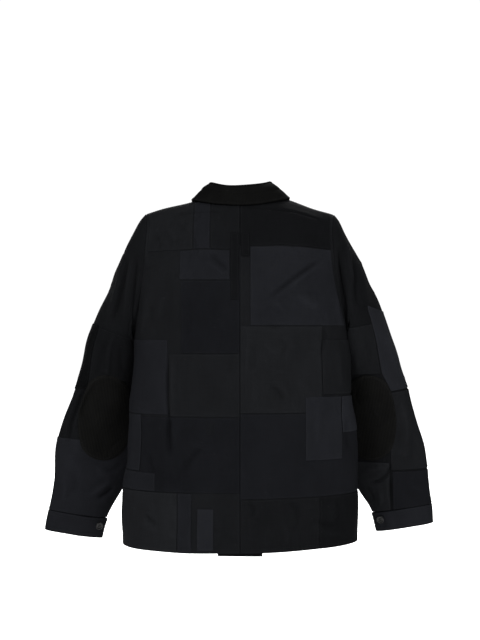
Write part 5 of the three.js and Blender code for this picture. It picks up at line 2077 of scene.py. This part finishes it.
button_material, tree, shader = shader_material("button_horn")
swirl = noise(tree, object_place(tree), 320, 5, (1, 1, 0.4))
horn = between(tree, swirl, (0.0035, 0.0035, 0.0037), (0.009, 0.009, 0.0095))
tree.links.new(horn, shader.inputs["Base Color"])
polish = calculate(tree, "ADD", calculate(tree, "MULTIPLY", swirl, 0.2), 0.16)
tree.links.new(polish, shader.inputs["Roughness"])
shader.inputs["Specular IOR Level"].default_value = 0.3
blank_button = turned_button()
print("button faces:", len(blank_button.polygons))


def unit(vector):
    """A vector's direction."""
    return np.asarray(vector) / np.linalg.norm(vector)


def sew_button(name, node, group, place, normal, upward):
    """Puts a button on the cloth, facing along a normal, with thread through its holes."""
    normal = unit(normal)
    across = unit(np.cross(upward, normal))
    upward = np.cross(normal, across)
    base = np.asarray(place) + normal * SEAM
    mesh = blank_button.copy()
    mesh.name = name
    turn = Matrix((across, upward, normal)).transposed().to_4x4()
    mesh.transform(Matrix.Translation(base * MM) @ turn)
    add_piece(name, mesh, button_material, [node])
    for y in (-1, 1):
        for strand in (-0.45, 0, 0.45):
            line = [(-1, -0.6), (-0.85, 0.25), (0, 0.5), (0.85, 0.25), (1, -0.6)]
            points = np.array(
                [
                    base + across * x * HOLE_OFFSET + upward * (y * HOLE_OFFSET + strand)
                    + normal * (BUTTON_DISH + rise)
                    for x, rise in line
                ]
            )
            normals = np.broadcast_to(normal, points.shape)
            stitch_lines.setdefault(group, []).append((points[None], normals[None], 0.24))


BUTTONHOLE_STITCH = [(0.25, -0.1), (1.2, 0.35), (2.0, -0.1)]  # aside from the slit, and up
BAR_TACK = [(-2.1, -0.1), (0, 0.4), (2.1, -0.1)]  # the threads that close each end
HOLE_STITCH_STEP = 0.75


def buttonhole(group, place, normal, along_way, start, end):
    """Close stitches round a slit, from a start to an end along a direction."""
    normal, along_way = unit(normal), unit(along_way)
    aside = np.cross(normal, along_way)
    runs = np.arange(start, end, HOLE_STITCH_STEP)
    lines = []
    for way in (-1, 1):
        for run in runs:
            at = place + along_way * run
            lines.append([at + aside * way * a + normal * r for a, r in BUTTONHOLE_STITCH])
    for run in (start - 0.5, end + 0.2):
        for at in (place + along_way * run, place + along_way * (run + 0.5)):
            lines.append([at + aside * a + normal * r for a, r in BAR_TACK])
    lines = np.array(lines)
    stitch_lines.setdefault(group, []).append((lines, np.broadcast_to(normal, lines.shape), 0.3))


UP = np.array([0.0, 0.0, 1.0])
for i, z in enumerate(FRONT_BUTTONS_Z):
    above, below = (
        body_point(-1, np.array(float(PLACKET)), np.array(z + k)) for k in (BUTTON_RADIUS, -BUTTON_RADIUS)
    )
    normal = unit([0, below[2] - above[2], above[1] - below[1]])
    place = body_point(-1, np.array(float(PLACKET)), np.array(float(z)))
    place[0] = 0
    place += normal * (PLACKET_LIFT + CLOTH)
    sew_button(f"front_button_{i + 1}", f"front_button_{i + 1}", "buttons", place, normal, UP)
    buttonhole("front_left", place + normal * 0.3, normal, (1, 0, 0), 8.6, 15)
for side, name in ((1, "left"), (-1, "right")):
    form = cuff_forms[side]
    share = (CUFF_BUTTON_ANGLE - CUFF_START) / (CUFF_FINISH - CUFF_START)
    height = (CUFF_EDGE - CUFF_BUTTON_STATION) / (CUFF_EDGE - CUFF_SEAM - 0.01)
    u, v = np.array([share]), np.array([height])
    place = lifted(form, u, v, form["heights"](u, v)[0])[0]
    normal = normals_of(form, u, v)[0]
    upward = (lifted(form, u, v + 0.1, 0) - lifted(form, u, v, 0))[0]
    aside = (lifted(form, u + 0.02, v, 0) - lifted(form, u, v, 0))[0]
    sew_button(f"cuff_button_{name}", f"cuff_button_{name}", "buttons", place, normal, upward)
    buttonhole(f"sleeve_{name}", place + normal * 0.1, normal, aside, 8.6, 12)
print("buttons sewn")

# %% Topstitching down the fronts
FACING_X = 34
for panel, lines_x in (("front_left", (-PLACKET + 4, FACING_X)), ("front_right", (FACING_X,))):
    inner = PANELS[panel][2]
    v = np.linspace(0.01, 0.985, 300)
    level = level_at(mix(length_down(HEM_Z), length_down(TIP_Z), v))
    for x in lines_x:
        stitch_along(panel, patch_forms[panel], u_at((x - inner) / (side_edge(level) - inner)), v)

# %% Threads
for group, lines in stitch_lines.items():
    mesh = thread_mesh(f"stitches_{group}", lines)
    add_piece(f"stitches_{group}", mesh, thread_material)
print("thread meshes:", len(stitch_lines))

# %% Size and finish
pieces = [thing for thing in bpy.data.objects if thing.type == "MESH"]
print("faces in all:", sum(len(piece.data.polygons) for piece in pieces))
visual_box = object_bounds()
size = {
    "cad": [list(map(float, corner)) for corner in cad_box],
    "visual": [list(map(float, corner)) for corner in visual_box],
}
print(size)
